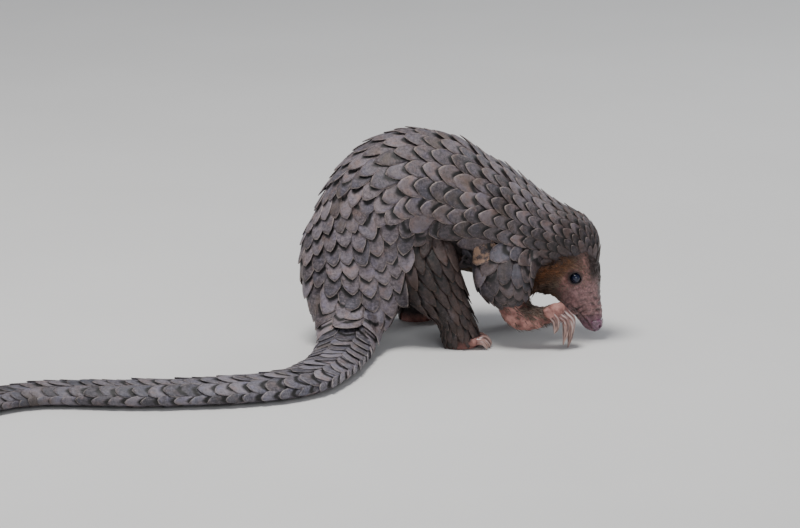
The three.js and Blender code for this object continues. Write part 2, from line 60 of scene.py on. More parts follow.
# Stations along the trunk from the tail root to the nose: place, way of the back, and half width, height
# over the middle line and height under it
TRUNK = [
    ((-3, -78, 14), (0, -0.55, 0.83), (28, 15, 12)),
    ((0, -52, 26), (0, -0.66, 0.75), (33, 22, 18)),
    ((5, -26, 58), (-0.12, -0.8, 0.58), (45, 36, 30)),
    ((14, -6, 92), (-0.42, -0.72, 0.55), (58, 50, 42)),
    ((32, 10, 125), (-0.74, -0.25, 0.62), (62, 60, 46)),
    ((62, 16, 146), (-0.34, -0.1, 0.93), (62, 62, 64)),
    ((100, 16, 144), (0.02, -0.05, 1), (61, 58, 77)),
    ((140, 13, 127), (0.34, 0, 0.94), (55, 45, 67)),
    ((176, 7, 110), (0.46, 0, 0.89), (47, 37.5, 57)),
    ((203, 0, 93), (0.58, 0, 0.81), (36, 38.5, 51)),
    ((219, -4, 79), (0.78, 0, 0.62), (28, 37, 43)),
    ((230, -7, 62), (0.93, 0, 0.37), (21, 22, 36)),
    ((237, -10, 43), (0.98, 0, 0.2), (14.5, 14, 26)),
    ((242, -12, 28), (0.98, 0, 0.2), (10, 10, 17.5)),
    ((245, -13.5, 16), (0.98, 0, 0.2), (8, 8, 12.5)),
    ((246.5, -14, 8), (0.98, 0, 0.2), (5, 5, 8)),
]

# Stations of the tail from its tip up to the root
TAIL = [
    ((-404, -350, 4), (0, 0, 1), (6, 3.5, 4)),
    ((-382, -324, 6), (0, 0, 1), (15, 6, 6)),
    ((-350, -290, 8), (0, 0, 1), (22, 9, 8)),
    ((-300, -258, 8), (0, 0, 1), (26, 11, 9)),
    ((-200, -260, 9), (0, 0, 1), (28, 13, 10)),
    ((-110, -248, 9), (0, 0, 1), (30, 13, 10)),
    ((-52, -221, 9), (0, 0, 1), (31, 13, 10)),
    ((-24, -174, 9), (0, 0, 1), (29, 13, 10)),
    ((-9, -124, 10), (0, -0.1, 1), (28, 13, 11)),
    ((-4, -92, 13), (0, -0.4, 0.9), (28, 14, 12)),
    ((-1, -65, 20), (0, -0.6, 0.8), (30, 18, 15)),
    ((1, -45, 32), (0, -0.7, 0.72), (35, 23, 20)),
]

# Swellings over hips, shoulders and crown, and the hollow behind the withers: place along the trunk and
# round it, reach, spread and height
SWELLINGS = [
    (78, 1.5, 46, 0.62, 12),
    (78, -1.5, 46, 0.62, 8),
    (262, 1.55, 34, 0.6, 9),
    (262, -1.55, 34, 0.6, 9),
    (212, 0, 17, 1.3, -4.6),
    (243, 0, 19, 1.3, -7.2),
    (352, 0, 17, 0.9, 5),
]

# Limbs from the foot or cuff up into the body: place, half width fore and aft, depth outwards and inwards
OUT_RIGHT = (0, -1, 0.12)
OUT_LEFT = (0, 1, 0.12)
LIMBS = {
    "hind_right": [
        ((110, -46, -5), OUT_RIGHT, (17, 14, 13)),
        ((110, -46, 12), OUT_RIGHT, (19, 15, 14)),
        ((106, -46, 30), OUT_RIGHT, (18, 15, 14)),
        ((93, -44, 50), OUT_RIGHT, (26, 18, 17)),
        ((78, -37, 70), OUT_RIGHT, (36, 24, 22)),
        ((64, -20, 98), OUT_RIGHT, (38, 24, 22)),
    ],
    "hind_left": [
        ((66, 62, -5), OUT_LEFT, (17, 14, 13)),
        ((66, 62, 12), OUT_LEFT, (19, 15, 14)),
        ((66, 61, 34), OUT_LEFT, (18, 15, 14)),
        ((62, 57, 58), OUT_LEFT, (22, 18, 17)),
        ((56, 46, 84), OUT_LEFT, (29, 22, 22)),
        ((52, 34, 104), OUT_LEFT, (28, 20, 22)),
    ],
    "fore_right": [
        ((163, -48, 42), OUT_RIGHT, (13, 11, 11)),
        ((160, -47, 52), OUT_RIGHT, (21, 14, 13)),
        ((155, -43, 68), OUT_RIGHT, (31, 18, 16)),
        ((154, -33, 86), OUT_RIGHT, (33, 18, 18)),
        ((157, -17, 104), OUT_RIGHT, (28, 16, 18)),
    ],
    "fore_left": [
        ((163, 52, 30), OUT_LEFT, (12, 10, 10)),
        ((158, 52, 42), OUT_LEFT, (18, 13, 12)),
        ((155, 50, 60), OUT_LEFT, (27, 17, 15)),
        ((155, 42, 82), OUT_LEFT, (31, 18, 18)),
        ((158, 28, 102), OUT_LEFT, (28, 16, 18)),
    ],
}
FOREARMS = {
    "right": [
        ((213, -52, 36), (0, -1, 0.5), (6, 6, 6)),
        ((206, -51, 38), (0, -1, 0.5), (8.5, 7.5, 8)),
        ((195, -51, 33), (0, -1, 0.2), (8, 7, 7)),
        ((184, -51, 30), OUT_RIGHT, (10.5, 9, 9)),
        ((169, -50, 31), OUT_RIGHT, (11.5, 10, 10)),
        ((160, -48, 42), OUT_RIGHT, (12, 10, 10)),
        ((158, -47, 56), OUT_RIGHT, (12, 10, 10)),
    ],
    "left": [
        ((178, 46, -5), OUT_LEFT, (13, 11, 11)),
        ((177, 46, 6), OUT_LEFT, (14, 12, 12)),
        ((172, 49, 18), OUT_LEFT, (10.5, 10, 10)),
        ((166, 51, 32), OUT_LEFT, (11, 10, 10)),
        ((160, 52, 48), OUT_LEFT, (11, 10, 10)),
    ],
}

# Face, by the distance back from the end of the nose and the turn from the brow
EYE_BACK, EYE_TURN, EYE_RADIUS, EYE_SUNK = 60, 1.66, 5.2, 2.6
EAR_BACK, EAR_TURN = 84, 1.74
NOSE_BACK = 12
BROW_TURN = (0, 0.4, 0.78, 0.94, 1.26, 1.6, 1.8, 2.05)
BROW_BACK = (60, 62, 69, 75, 78, 83, 88, 98)
THROAT_EDGE, BELLY_EDGE = 2.05, 2.4

# The camera of the photo: far off, a little above the animal
PHOTO_AIM = (50, 0, 73.5)
PHOTO_FAR = 6000
PHOTO_ELEVATION = math.radians(14)


def spline(stations, share):
    """Points on a smooth curve through the stations, at shares of its stations from 0 to 1."""
    stations = np.asarray(stations, float)
    last = len(stations) - 1
    place = np.clip(np.asarray(share, float), 0, 1) * last
    start = np.minimum(place.astype(int), last - 1)
    part = (place - start)[:, None]
    padded = np.vstack([2 * stations[0] - stations[1], stations, 2 * stations[-1] - stations[-2]])
    p0, p1, p2, p3 = (padded[start + k] for k in range(4))
    d0, d1, d2 = (((b - a) ** 2).sum(1)[:, None] ** 0.25 for a, b in ((p0, p1), (p1, p2), (p2, p3)))
    d1 = np.where(d1 < NUDGE, 1, d1)
    d0, d2 = np.where(d0 < NUDGE, d1, d0), np.where(d2 < NUDGE, d1, d2)
    m1 = d1 * ((p1 - p0) / d0 - (p2 - p0) / (d0 + d1) + (p2 - p1) / d1)
    m2 = d1 * ((p2 - p1) / d1 - (p3 - p1) / (d1 + d2) + (p3 - p2) / d2)
    return p1 + m1 * part + (3 * (p2 - p1) - 2 * m1 - m2) * part**2 + (2 * (p1 - p2) + m1 + m2) * part**3


def unit(vectors):
    """The vectors at length one."""
    return vectors / np.maximum(np.linalg.norm(vectors, axis=-1, keepdims=True), NEVER_ZERO)


def smooth(value, low, high):
    """0 below the low limit, 1 above the high one and a soft step between them."""
    share = np.clip((np.asarray(value, float) - low) / (high - low), 0, 1)
    return share * share * (3 - 2 * share)


def falling(value, high, low):
    """0 above the high limit, 1 below the low one and a soft step between them."""
    return smooth(-value, -high, -low)


# Steps that a tube is measured in, along it and half round it, and a turn that lies off it
TUBE_STEPS = 601
HALF_ROUND_STEPS = 73
OFF_TUBE = 9.0


class Tube:
    """A bent tube of oval section through a list of stations."""

    def __init__(self, stations, swellings=()):
        self.at, self.back, self.size = (np.array([s[k] for s in stations], float) for k in range(3))
        self.shares = np.linspace(0, 1, TUBE_STEPS)
        steps = np.linalg.norm(np.diff(spline(self.at, self.shares), axis=0), axis=1)
        self.reach = np.concatenate([[0], np.cumsum(steps)])
        self.length = self.reach[-1]
        self.swellings = swellings

    def frame(self, along):
        """Centre, ways ahead, back and right, and the three sizes at lengths along the tube."""
        share = np.interp(np.clip(along, 0, self.length), self.reach, self.shares)
        ahead = unit(spline(self.at, share + NUDGE) - spline(self.at, share - NUDGE))
        back = spline(self.back, share)
        back = unit(back - ahead * (back * ahead).sum(1)[:, None])
        return spline(self.at, share), ahead, back, np.cross(ahead, back), spline(self.size, share)

    def points(self, along, turn, lift=0.0):
        """Points on the tube, lifted off its skin, and the outward ways there."""
        along, turn, lift = (np.ravel(a) for a in np.broadcast_arrays(along, turn, lift))
        centre, _, back, right, size = self.frame(along)
        turn = np.arctan2(np.sin(turn), np.cos(turn))
        half, height = size[:, 0], np.where(np.cos(turn) > 0, size[:, 1], size[:, 2])
        side, top = np.sin(turn)[:, None], np.cos(turn)[:, None]
        outward = unit(right * side * height[:, None] + back * top * half[:, None])
        for place, middle, reach, spread, swell in self.swellings:
            lift = lift + swell * np.exp(-(((along - place) / reach) ** 2) - ((turn - middle) / spread) ** 2)
        spots = centre + right * side * half[:, None] + back * top * height[:, None] + outward * lift[:, None]
        spots[:, 2] = np.maximum(spots[:, 2], 0)
        return spots, outward

    def columns(self, alongs, space, reach):
        """Lines that run along the tube, `space` apart round it: for each number the turns at `alongs`."""
        turns = np.linspace(0, math.pi, HALF_ROUND_STEPS)
        grid = self.points(*np.meshgrid(alongs, turns, indexing="ij"))[0].reshape(len(alongs), -1, 3)
        steps = np.linalg.norm(np.diff(grid, axis=1), axis=2)
        arcs = np.concatenate([np.zeros((len(alongs), 1)), steps.cumsum(1)], 1)
        for line in range(-reach, reach + 1):
            rows = zip(space, arcs)
            found = [np.interp(abs(line) * far, arc, turns, right=OFF_TUBE) for far, arc in rows]
            yield line, np.copysign(found, line or 1)


trunk = Tube(TRUNK, SWELLINGS)
tail = Tube(TAIL)
limbs = {name: Tube(stations) for name, stations in LIMBS.items()}
forearms = {name: Tube(stations) for name, stations in FOREARMS.items()}


def face_place(back, turn):
    """A place on the head, by its distance back from the end of the nose, and the outward way there."""
    spot, out = trunk.points(trunk.length - back, turn)
    return spot[0], out[0]


# Where the animal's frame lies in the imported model's: its right eye is found in both
eye_spot, eye_out = face_place(EYE_BACK, EYE_TURN)
low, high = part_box("eye_right")
ORIGIN = np.round((np.array(low) + np.array(high)) / 2 / MM - (eye_spot - eye_out * EYE_SUNK), 1)
ORIGIN[2] = 0

# How far over the floor the lowest scales and hair lie
FLOOR_GAP = 0.4


def metres(spots):
    """Places of the animal's frame, in millimetres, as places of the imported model."""
    return (np.asarray(spots, float) + ORIGIN) * MM


def in_scene(name, data):
    """A new object of the given data."""
    made = bpy.data.objects.new(name, data)
    bpy.context.scene.collection.objects.link(made)
    return made


def mesh_in_metres(name, spots, faces):
    """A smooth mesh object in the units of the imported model."""
    mesh = bpy.data.meshes.new(name)
    mesh.from_pydata(np.asarray(spots, float), [], [list(face) for face in faces])
    mesh.update()
    mesh.shade_smooth()
    return in_scene(name, mesh)


def joined(name, grids):
    """One object of several grids of spots and faces, in millimetres of the animal's frame."""
    faces, start = [], 0
    for spots, some_faces in grids:
        faces += [tuple(k + start for k in face) for face in some_faces]
        start += len(spots)
    return mesh_in_metres(name, metres(np.vstack([spots for spots, _ in grids])), faces)


def values_of(items, field, width=1, kind=np.float32):
    """One field of all items of a mesh, as an array."""
    values = np.empty(len(items) * width, kind)
    items.foreach_get(field, values)
    return values.reshape(-1, width) if width > 1 else values


def put_attribute(piece, name, values):
    """A number or a vector for each vertex of a piece."""
    values = np.asarray(values, np.float32)
    kind, field = ("FLOAT_VECTOR", "vector") if values.ndim == 2 else ("FLOAT", "value")
    piece.data.attributes.new(name, kind, "POINT").data.foreach_set(field, values.ravel())


def get_attribute(mesh, name, width=1):
    return values_of(mesh.attributes[name].data, "vector" if width == 3 else "value", width)


def drop_attributes(mesh, names):
    """Takes off what only the trees of nodes need."""
    for name in names:
        mesh.attributes.remove(mesh.attributes[name])


def places_of(mesh):
    return values_of(mesh.vertices, "co", 3, float)


def put_places(mesh, spots):
    mesh.vertices.foreach_set("co", spots.ravel())
    mesh.update()


def lift_off_floor(mesh):
    """No vertex lies on the floor or under it."""
    spots = places_of(mesh)
    spots[:, 2] = np.maximum(spots[:, 2], FLOOR_GAP * MM)
    put_places(mesh, spots)


def map_of(mesh):
    """Places in the map at the corners of all faces, and the vertex at each corner."""
    layer = mesh.uv_layers["OFBake"].uv
    return values_of(layer, "vector", 2), values_of(mesh.loops, "vertex_index", 1, np.int32)


def put_map(mesh, places):
    mesh.uv_layers["OFBake"].uv.foreach_set("vector", places.ravel().astype(np.float32))


def evaluated(piece):
    """The piece as a plain mesh object with its modifiers applied; the old one is removed."""
    mesh = bpy.data.meshes.new_from_object(piece.evaluated_get(bpy.context.evaluated_depsgraph_get()))
    name, old_mesh = piece.name, piece.data
    bpy.data.objects.remove(piece)
    bpy.data.meshes.remove(old_mesh)
    mesh.name = name
    return in_scene(name, mesh)


def rings(tube, step, margin=1.5):
    """Places along a tube where its rings of spots lie."""
    return np.arange(margin, tube.length - margin, step)


def grid_places(alongs, sides):
    """Place along and turn of each spot that tube_grid makes."""
    along, turn = np.meshgrid(alongs, np.arange(sides) * FULL_TURN / sides, indexing="ij")
    return np.append(along, [alongs[0], alongs[-1]]), np.append(turn, [0, 0])


def tube_grid(tube, alongs, sides, lift=0.0, relief=None):
    """Rings of spots round a tube with a pole at each end, and the faces between them."""
    along, turn = (values[:-2] for values in grid_places(alongs, sides))
    turn = np.arctan2(np.sin(turn), np.cos(turn))
    raised = lift + (relief(along, turn) if relief else 0.0)
    spots = tube.points(along, turn, raised)[0]
    ends = tube.frame(np.array([alongs[0], alongs[-1]]))[0]
    ends[:, 2] = np.maximum(ends[:, 2], 0)
    last_ring, first_pole, last_pole = len(spots) - sides, len(spots), len(spots) + 1
    faces = []
    for near in range(0, last_ring, sides):
        for side in range(sides):
            after = (side + 1) % sides
            faces.append((near + side, near + after, near + sides + after, near + sides + side))
    for side in range(sides):
        after = (side + 1) % sides
        faces.append((after, side, first_pole))
        faces.append((last_ring + side, last_ring + after, last_pole))
    return np.vstack([spots, ends]), faces


# Skin

# How deep the skin lies under the scales of trunk, limbs and tail, and where it is bare
SKIN_DEPTH = 3.0
LIMB_DEPTH = 0.7 * SKIN_DEPTH
TAIL_DEPTH = 0.8 * SKIN_DEPTH
BARE_DEPTH = 0.15

# Relief of the head: what it stands out or is sunk by, with its place, length and width in millimetres
# or turns. A ring round eye or ear lies at so many of its half sizes from the middle.
EYE_HOLLOW, EYE_HOLLOW_FAR, EYE_HOLLOW_WIDE = 1.3, 9, 5
LID_RISE, LID_LONG, LID_HIGH, LID_RING, LID_WIDE = 1.5, 6.1, 5.3, 1.12, 0.2
SOCKET_DEPTH, SOCKET_RIM = 5.0, (0.66, 0.95)
CHEEK_RISE, CHEEK_BACK, CHEEK_LONG, CHEEK_TURN, CHEEK_WIDE = 1.6, 52, 14, 2.35, 0.5
EAR_RISE, EAR_LONG, EAR_HIGH, EAR_RING, EAR_WIDE = 1.8, 3.6, 6, 1.1, 0.3
EAR_DEPTH, EAR_RIM = 3.0, (0.4, 0.95)
OTHER_SIDE = 50

# The line of the mouth by the distance back, where it starts and ends, and rise, place beside the line
# and width of the line itself, the upper lip and the lower one
MOUTH_BACK, MOUTH_TURN = (0, 8, 16, 34), (1.95, 2.05, 2.2, 2.42)
MOUTH_START, MOUTH_END = (1, 3), (32, 36)
LIPS = ((-1.5, 0, 0.75), (0.8, -2.0, 1.2), (0.9, 1.9, 1.1))

# Where the folds of the muzzle set in, fade and end, and how high folds and warts are
FOLDS_START, FOLDS_FADE, FOLDS_END = (13, 18), (27, 37), (40, 58)
FOLD_RISE, WART_RISE = 0.75, 0.2

# The end of the nose is rounded over this length, and the skin is sunk under its pad, down to the chin
NOSE_ROUND = 6
PAD_SUNK = 1.4
CHIN_TURN = 1.75

# Where the bare throat widens to the bare belly, and how softly the scales end
BELLY_START = (100, 160)
EDGE_TURN, EDGE_BACK = 0.08, 3


def ridge(value, middle, width):
    """1 at the middle and softly down to 0 on both sides of it."""
    return np.exp(-(((value - middle) / width) ** 2))


def mouth_turn(back):
    """Turn of the line between the lips, by the distance back from the end of the nose."""
    return np.interp(back, MOUTH_BACK, MOUTH_TURN)


def blunt(back, turn):
    """How far the end of the trunk is drawn in to round the nose off."""
    size = trunk.frame(trunk.length - back)[4]
    height = np.where(np.cos(turn) > 0, size[:, 1], size[:, 2])
    radius = np.hypot(np.sin(turn) * size[:, 0], np.cos(turn) * height)
    return radius * (1 - np.sqrt(1 - np.clip(1 - back / NOSE_ROUND, 0, 1) ** 2))


def muzzle_folds(back, turn):
    """Folds across the muzzle and the warts between them, as waves that bend each other."""
    warp = 2.1 * np.sin(turn * 2.3 + 0.4) + 0.9 * np.sin(back * 0.33 + turn * 5)
    folds = np.sin(back * 1.05 + warp) * (0.6 + 0.4 * np.sin(turn * 7 + 2.0 * np.sin(back * 0.4)))
    warts = np.sin(back * 1.9 + 3 * np.sin(turn * 4)) * np.sin(turn * 11 + 2 * np.sin(back * 0.7))
    depth = smooth(back, *FOLDS_START) * (1 - 0.5 * smooth(back, *FOLDS_FADE))
    return (FOLD_RISE * folds + WART_RISE * warts) * (depth * (1 - smooth(back, *FOLDS_END)))


def face_relief(along, turn):
    """How far the skin stands out from the plain oval of the head: sockets, cheeks, lips and folds."""
    back, side = trunk.length - along, np.abs(turn)
    round_it = trunk.frame(along)[4].mean(1)
    relief = np.zeros(len(along))
    for sign in (1, -1):
        # What lies on one side of the head is far off from the other
        apart = round_it * np.where(turn * sign > 0, 1, OTHER_SIDE)
        # Eye: a hollow round it, the ring of the lids and the socket
        ahead, across = back - EYE_BACK, (turn * sign - EYE_TURN) * apart
        relief -= EYE_HOLLOW * ridge(np.hypot(ahead, across), EYE_HOLLOW_FAR, EYE_HOLLOW_WIDE)
        lid = np.hypot(ahead / LID_LONG, across / LID_HIGH)
        relief += LID_RISE * ridge(lid, LID_RING, LID_WIDE)
        relief -= SOCKET_DEPTH * (1 - smooth(lid, *SOCKET_RIM))
        # Cheek behind the corner of the mouth
        cheek = ((back - CHEEK_BACK) / CHEEK_LONG) ** 2 + ((turn - sign * CHEEK_TURN) / CHEEK_WIDE) ** 2
        relief += CHEEK_RISE * np.exp(-cheek)
        # Ear: a low rim round a hollow
        ear = np.hypot((back - EAR_BACK) / EAR_LONG, (turn * sign - EAR_TURN) * apart / EAR_HIGH)
        relief += EAR_RISE * ridge(ear, EAR_RING, EAR_WIDE)
        relief -= EAR_DEPTH * (1 - smooth(ear, *EAR_RIM))
    beside = (side - mouth_turn(back)) * round_it
    along_mouth = smooth(back, *MOUTH_START) * (1 - smooth(back, *MOUTH_END))
    for rise, place, width in LIPS:
        relief += rise * along_mouth * ridge(beside, place, width)
    relief += muzzle_folds(back, turn)
    # Under the nose pad the skin is sunk; the chin stays out
    pad = (1 - smooth(side, CHIN_TURN, 1.95)) * (1 - smooth(back, NOSE_BACK - 0.8, NOSE_BACK + 0.6))
    return relief - (PAD_SUNK * pad + blunt(back, turn))


def scaly(along, turn):
    """1 where scales cover the trunk, 0 where the skin is bare."""
    back, side = trunk.length - along, np.abs(turn)
    edge = THROAT_EDGE + (BELLY_EDGE - THROAT_EDGE) * smooth(back, *BELLY_START)
    brow = np.interp(side, BROW_TURN, BROW_BACK)
    off_edge = 1 - smooth(side, edge - EDGE_TURN, edge + EDGE_TURN)
    return off_edge * smooth(back, brow - EDGE_BACK, brow + EDGE_BACK)


def trunk_lift(along, turn):
    """The skin lies deeper under the scales than where it is bare."""
    covered = scaly(along, turn)
    return -SKIN_DEPTH * covered - BARE_DEPTH * (1 - covered) + face_relief(along, turn)


def muscle(along, turn):
    """Sinews and folds of a bare forearm, which fade in above the wrist."""
    wave = 0.45 * np.sin(turn * 3 + along * 0.12) + 0.3 * np.sin(along * 0.75 + 1.5 * np.sin(turn * 2))
    return wave * smooth(along, 8, 20)


# The skin's rings lie close together over the head and further apart over the body
FINE_BACK, FINE_STEP, BODY_STEP = 100, 0.6, 3.4
fine_rings = np.arange(0, FINE_BACK, FINE_STEP)
trunk_rings = np.concatenate([fine_rings, np.arange(FINE_BACK, trunk.length - 4, BODY_STEP)])
trunk_rings = trunk.length - trunk_rings[::-1] - 0.8
skin_trunk = tube_grid(trunk, trunk_rings[trunk_rings > 4], 132, 0.0, trunk_lift)
skin_limbs = [tube_grid(tube, rings(tube, 2.6), 48, -LIMB_DEPTH) for tube in limbs.values()]
skin_tail = tube_grid(tail, rings(tail, 3.6), 56, -TAIL_DEPTH)
skin_forearms = [tube_grid(tube, rings(tube, 1.0, 0.8), 56, 0.0, muscle) for tube in forearms.values()]

# Claws: the toes by their place beside the middle one, how thick hind and front claws are and how much
# shorter the outer ones of a front paw. Root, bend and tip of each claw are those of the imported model.
TOES = (-1.5, -0.75, 0, 0.75, 1.5)
HIND_THICK, FORE_THICK = 7.0, 8.6
OUTER_SHORTER = 0.22
CLAW_SIDES = 20
CLAW_RINGS = 30

# A toe: places along its way from the claw's root, and its radius there
TOE_PLACES, TOE_RADII = (-7, -2, 2.5, 5.5), (3.6, 4.6, 4.4, 3.4)


def path_tube(spots, radii):
    """A round tube along a few spots."""
    return Tube([(spot, (0.1, 0.15, 1), (radius,) * 3) for spot, radius in zip(spots, radii)])


def hind_claws(x, y):
    for toe in TOES:
        root, side = x - 1.6 * toe * toe, y + 7 * toe
        yield (root, side, 8), (root + 9, side + toe, 8), (root + 14, side + 1.5 * toe, 0.6), HIND_THICK


def fore_right_claws():
    for toe in TOES:
        reach = 1 - OUTER_SHORTER * toe * toe
        root, side = 208 - 4 * toe - 1.5 * toe * toe, -51 - 6 * toe
        bend = (root + 11 * reach, side, 34 - 6 * reach)
        yield (root, side, 38), bend, (root + 9 * reach, side, 34 - 33.5 * reach), FORE_THICK


def fore_left_claws():
    for toe in TOES:
        reach = 1 - OUTER_SHORTER * toe * toe
        root, side = 184 - 1.5 * toe * toe, 46 + 6 * toe
        yield (root, side, 9), (root + 14 * reach, side, 12), (root + 24 * reach, side, 0.6), FORE_THICK


def claw_tube(root, bend, tip, thick):
    """A claw that curves from its root over the bend to its tip, higher than it is wide."""
    way = unit(bend - root)
    spots = [root + way * 1.5, root + (bend - root) * 0.55, bend, bend + (tip - bend) * 0.55 + way * 1.4, tip]
    backs = [(0.2, 0.1, 1), (0.2, 0.1, 1), (0.3, 0.1, 1), (0.5, 0.1, 0.9), (0.8, 0.1, 0.6)]
    shares = [0.95, 1.0, 0.92, 0.64, 0.1]
    return Tube([
        (spot, back, (thick * share * 0.42, thick * share * 0.58, thick * share * 0.46))
        for spot, back, share in zip(spots, backs, shares)
    ])


all_claws = [*hind_claws(126, -46), *hind_claws(82, 62), *fore_right_claws(), *fore_left_claws()]
skin_toes, claw_grids, claw_reach, claw_grain = [], [], [], []
for root, bend, tip, thick in all_claws:
    root, bend, tip = (np.array(spot, float) for spot in (root, bend, tip))
    way = unit(bend - root)
    toe = path_tube([root + way * place for place in TOE_PLACES], TOE_RADII)
    skin_toes.append(tube_grid(toe, rings(toe, 0.9, 0.3), 24))
    claw = claw_tube(root, bend, tip, thick)
    alongs = np.linspace(0.05, claw.length - 0.05, CLAW_RINGS)
    claw_grids.append(tube_grid(claw, alongs, CLAW_SIDES))
    # Reach from root to tip, and grain for the streaks of the horn, which no two claws share
    along, turn = grid_places(alongs, CLAW_SIDES)
    claw_reach.append(along / claw.length)
    claw_grain.append(np.stack([np.sin(turn) * 3, np.cos(turn) * 3, along + 40 * len(claw_grids)], 1))

skin = joined("skin", [skin_trunk])
skin_rest = joined("skin_rest", [skin_tail, *skin_limbs, *skin_forearms, *skin_toes])

# The hollows between body and limbs that the scales pass over: middle line and thickness of what fills them
HOLLOWS = [
    ([(58, -22, 116), (60, -27, 96), (60, -32, 76)], [22, 22, 20]),
    ([(157, -22, 108), (156, -28, 94), (155, -36, 80)], [21, 21, 20]),
    ([(50, 30, 114), (50, 36, 94), (54, 42, 78)], [20, 20, 18]),
    ([(157, 30, 108), (156, 36, 94), (155, 42, 80)], [20, 20, 18]),
]
JOIN_REACH = 30
JOIN_SHARE = 0.7
JOIN_TURNS = 40


def fuse_forms(piece, cell, turns):
    """Fuses the closed forms of a piece, in cells of the given size, and softens the seams."""
    remesh = piece.modifiers.new("Remesh", "REMESH")
    remesh.mode, remesh.voxel_size = "VOXEL", cell * MM
    soften = piece.modifiers.new("Smooth", "SMOOTH")
    soften.factor, soften.iterations = 0.5, turns


def soften_joins(mesh):
    """Rounds the body off where the limbs join it."""
    spots = places_of(mesh)
    share = np.zeros(len(spots))
    for line, _ in HOLLOWS:
        far = np.linalg.norm(spots - metres(line[1]), axis=1) / (JOIN_REACH * MM)
        share = np.maximum(share, JOIN_SHARE * np.exp(-(far**4)))
    ends = values_of(mesh.edges, "vertices", 2, np.int32)
    one, two = ends.T
    count = np.maximum(np.bincount(ends.ravel(), minlength=len(spots)), 1)
    for _ in range(JOIN_TURNS):
        for axis in range(3):
            place = spots[:, axis]
            total = np.bincount(one, place[two], len(spots)) + np.bincount(two, place[one], len(spots))
            spots[:, axis] += share * (total / count - place)
    put_places(mesh, spots)


# The body without hollows and folds, softly joined, which the scales are laid on
fillings = [path_tube(*hollow) for hollow in HOLLOWS]
body = joined("body_form", [
    tube_grid(trunk, rings(trunk, 4), 72),
    tube_grid(tail, rings(tail, 5), 40),
    *[tube_grid(tube, rings(tube, 4), 32) for tube in (*limbs.values(), *fillings)],
])
fuse_forms(body, 2.6, 14)
body = evaluated(body)
soften_joins(body.data)
put_attribute(body, "facing", values_of(body.data.vertex_normals, "vector", 3))

# The skin: limbs and tail fused, thinned out, and fused with the trunk
fuse_forms(skin_rest, 1.25, 3)
skin_rest.modifiers.new("Decimate", "DECIMATE").ratio = 0.3
skin_rest = evaluated(skin_rest)
fuse = skin.modifiers.new("Boolean", "BOOLEAN")
fuse.operation, fuse.solver, fuse.object = "UNION", "MANIFOLD", skin_rest
skin = evaluated(skin)
bpy.data.objects.remove(skin_rest)


# Scales

# Cells of one scale over its width and length, the fall of its tip's corners and the depth of its rim
PLATE_ACROSS = 6
PLATE_ROWS = (0, 0.3, 0.55, 0.76, 0.9, 1.0)
CORNER_FALL = 0.3
TIP_WIDTH = 0.9
RIM = 0.95

# How far a scale's root is sunk in the body and how uneven its edge is
ROOT_DEPTH = 2.4
EDGE_WEAR = 0.6

# Map of the scale: share of the square that its upper face fills, and size of its underside in a corner
MAP_FILL, MAP_RIM, MAP_CORNER = 0.82, 1.14, 0.03


def tip_line(x):
    """Where the free edge of a scale runs, as a share of its length, at x from -1 to 1 of its half width."""
    return 1 - CORNER_FALL * (np.abs(x) / TIP_WIDTH) ** 2.3 + 0.035 * np.exp(-((x / 0.2) ** 2))


def plate_form():
    """One scale in a unit square, its tip at +Y. It is flat: its heights are kept as attributes."""
    spots, rise, build, edge = [], [], [], []
    for w in PLATE_ROWS:
        for u in np.linspace(-1, 1, PLATE_ACROSS + 1):
            x = u * (0.7 + 0.3 * smooth(w, 0, 0.5) - (1 - TIP_WIDTH) * smooth(w, 0.7, 1.0))
            y = w * tip_line(u * TIP_WIDTH)
            spots.append((x / 2, y - 0.5, 0))
            rise.append(y)
            build.append(0.5 + 0.9 * (1 - abs(u) ** 2.2) * (1 - 0.6 * w))
            edge.append(max(smooth(w, 0.82, 1.0), smooth(abs(u), 0.75, 1.0) * smooth(w, 0.3, 0.6)))
    columns, rows = PLATE_ACROSS + 1, len(PLATE_ROWS)
    faces = []
    for row in range(rows - 1):
        for corner in range(row * columns, row * columns + PLATE_ACROSS):
            faces.append((corner, corner + 1, corner + columns + 1, corner + columns))
    border = [*range(columns)]
    border += [row * columns + columns - 1 for row in range(1, rows)]
    border += [(rows - 1) * columns + column for column in range(columns - 2, -1, -1)]
    border += [row * columns for row in range(rows - 2, 0, -1)]
    start, count = len(spots), len(border)
    for corner in border:
        x, y, _ = spots[corner]
        spots.append((x * 0.96, y * 0.98, 0))
        rise.append(rise[corner])
        build.append(build[corner] - RIM)
        edge.append(0.5 * edge[corner])
    for k in range(count):
        after = (k + 1) % count
        faces.append((border[after], border[k], start + k, start + after))
    underside = len(faces)
    faces.append(tuple(start + k for k in reversed(range(count))))
    form = mesh_in_metres("plate_form", spots, faces)
    put_attribute(form, "rise", rise)
    put_attribute(form, "build", build)
    put_attribute(form, "edge", edge)
    put_attribute(form, "local", [(2 * x, y + 0.5, 0.0) for x, y, _ in spots])
    layer = form.data.uv_layers.new(name="OFBake")
    for polygon in form.data.polygons:
        for corner in polygon.loop_indices:
            vertex = form.data.loops[corner].vertex_index
            x, y, _ = spots[vertex]
            grow = 1.0 if vertex < start else MAP_RIM
            place = (0.5 + MAP_FILL * x * grow, 0.5 + MAP_FILL * y * grow)
            if polygon.index == underside:
                place = (MAP_CORNER + MAP_CORNER * (x + 0.5), MAP_CORNER + MAP_CORNER * (y + 0.5))
            layer.data[corner].uv = place
    return form


plate = plate_form()


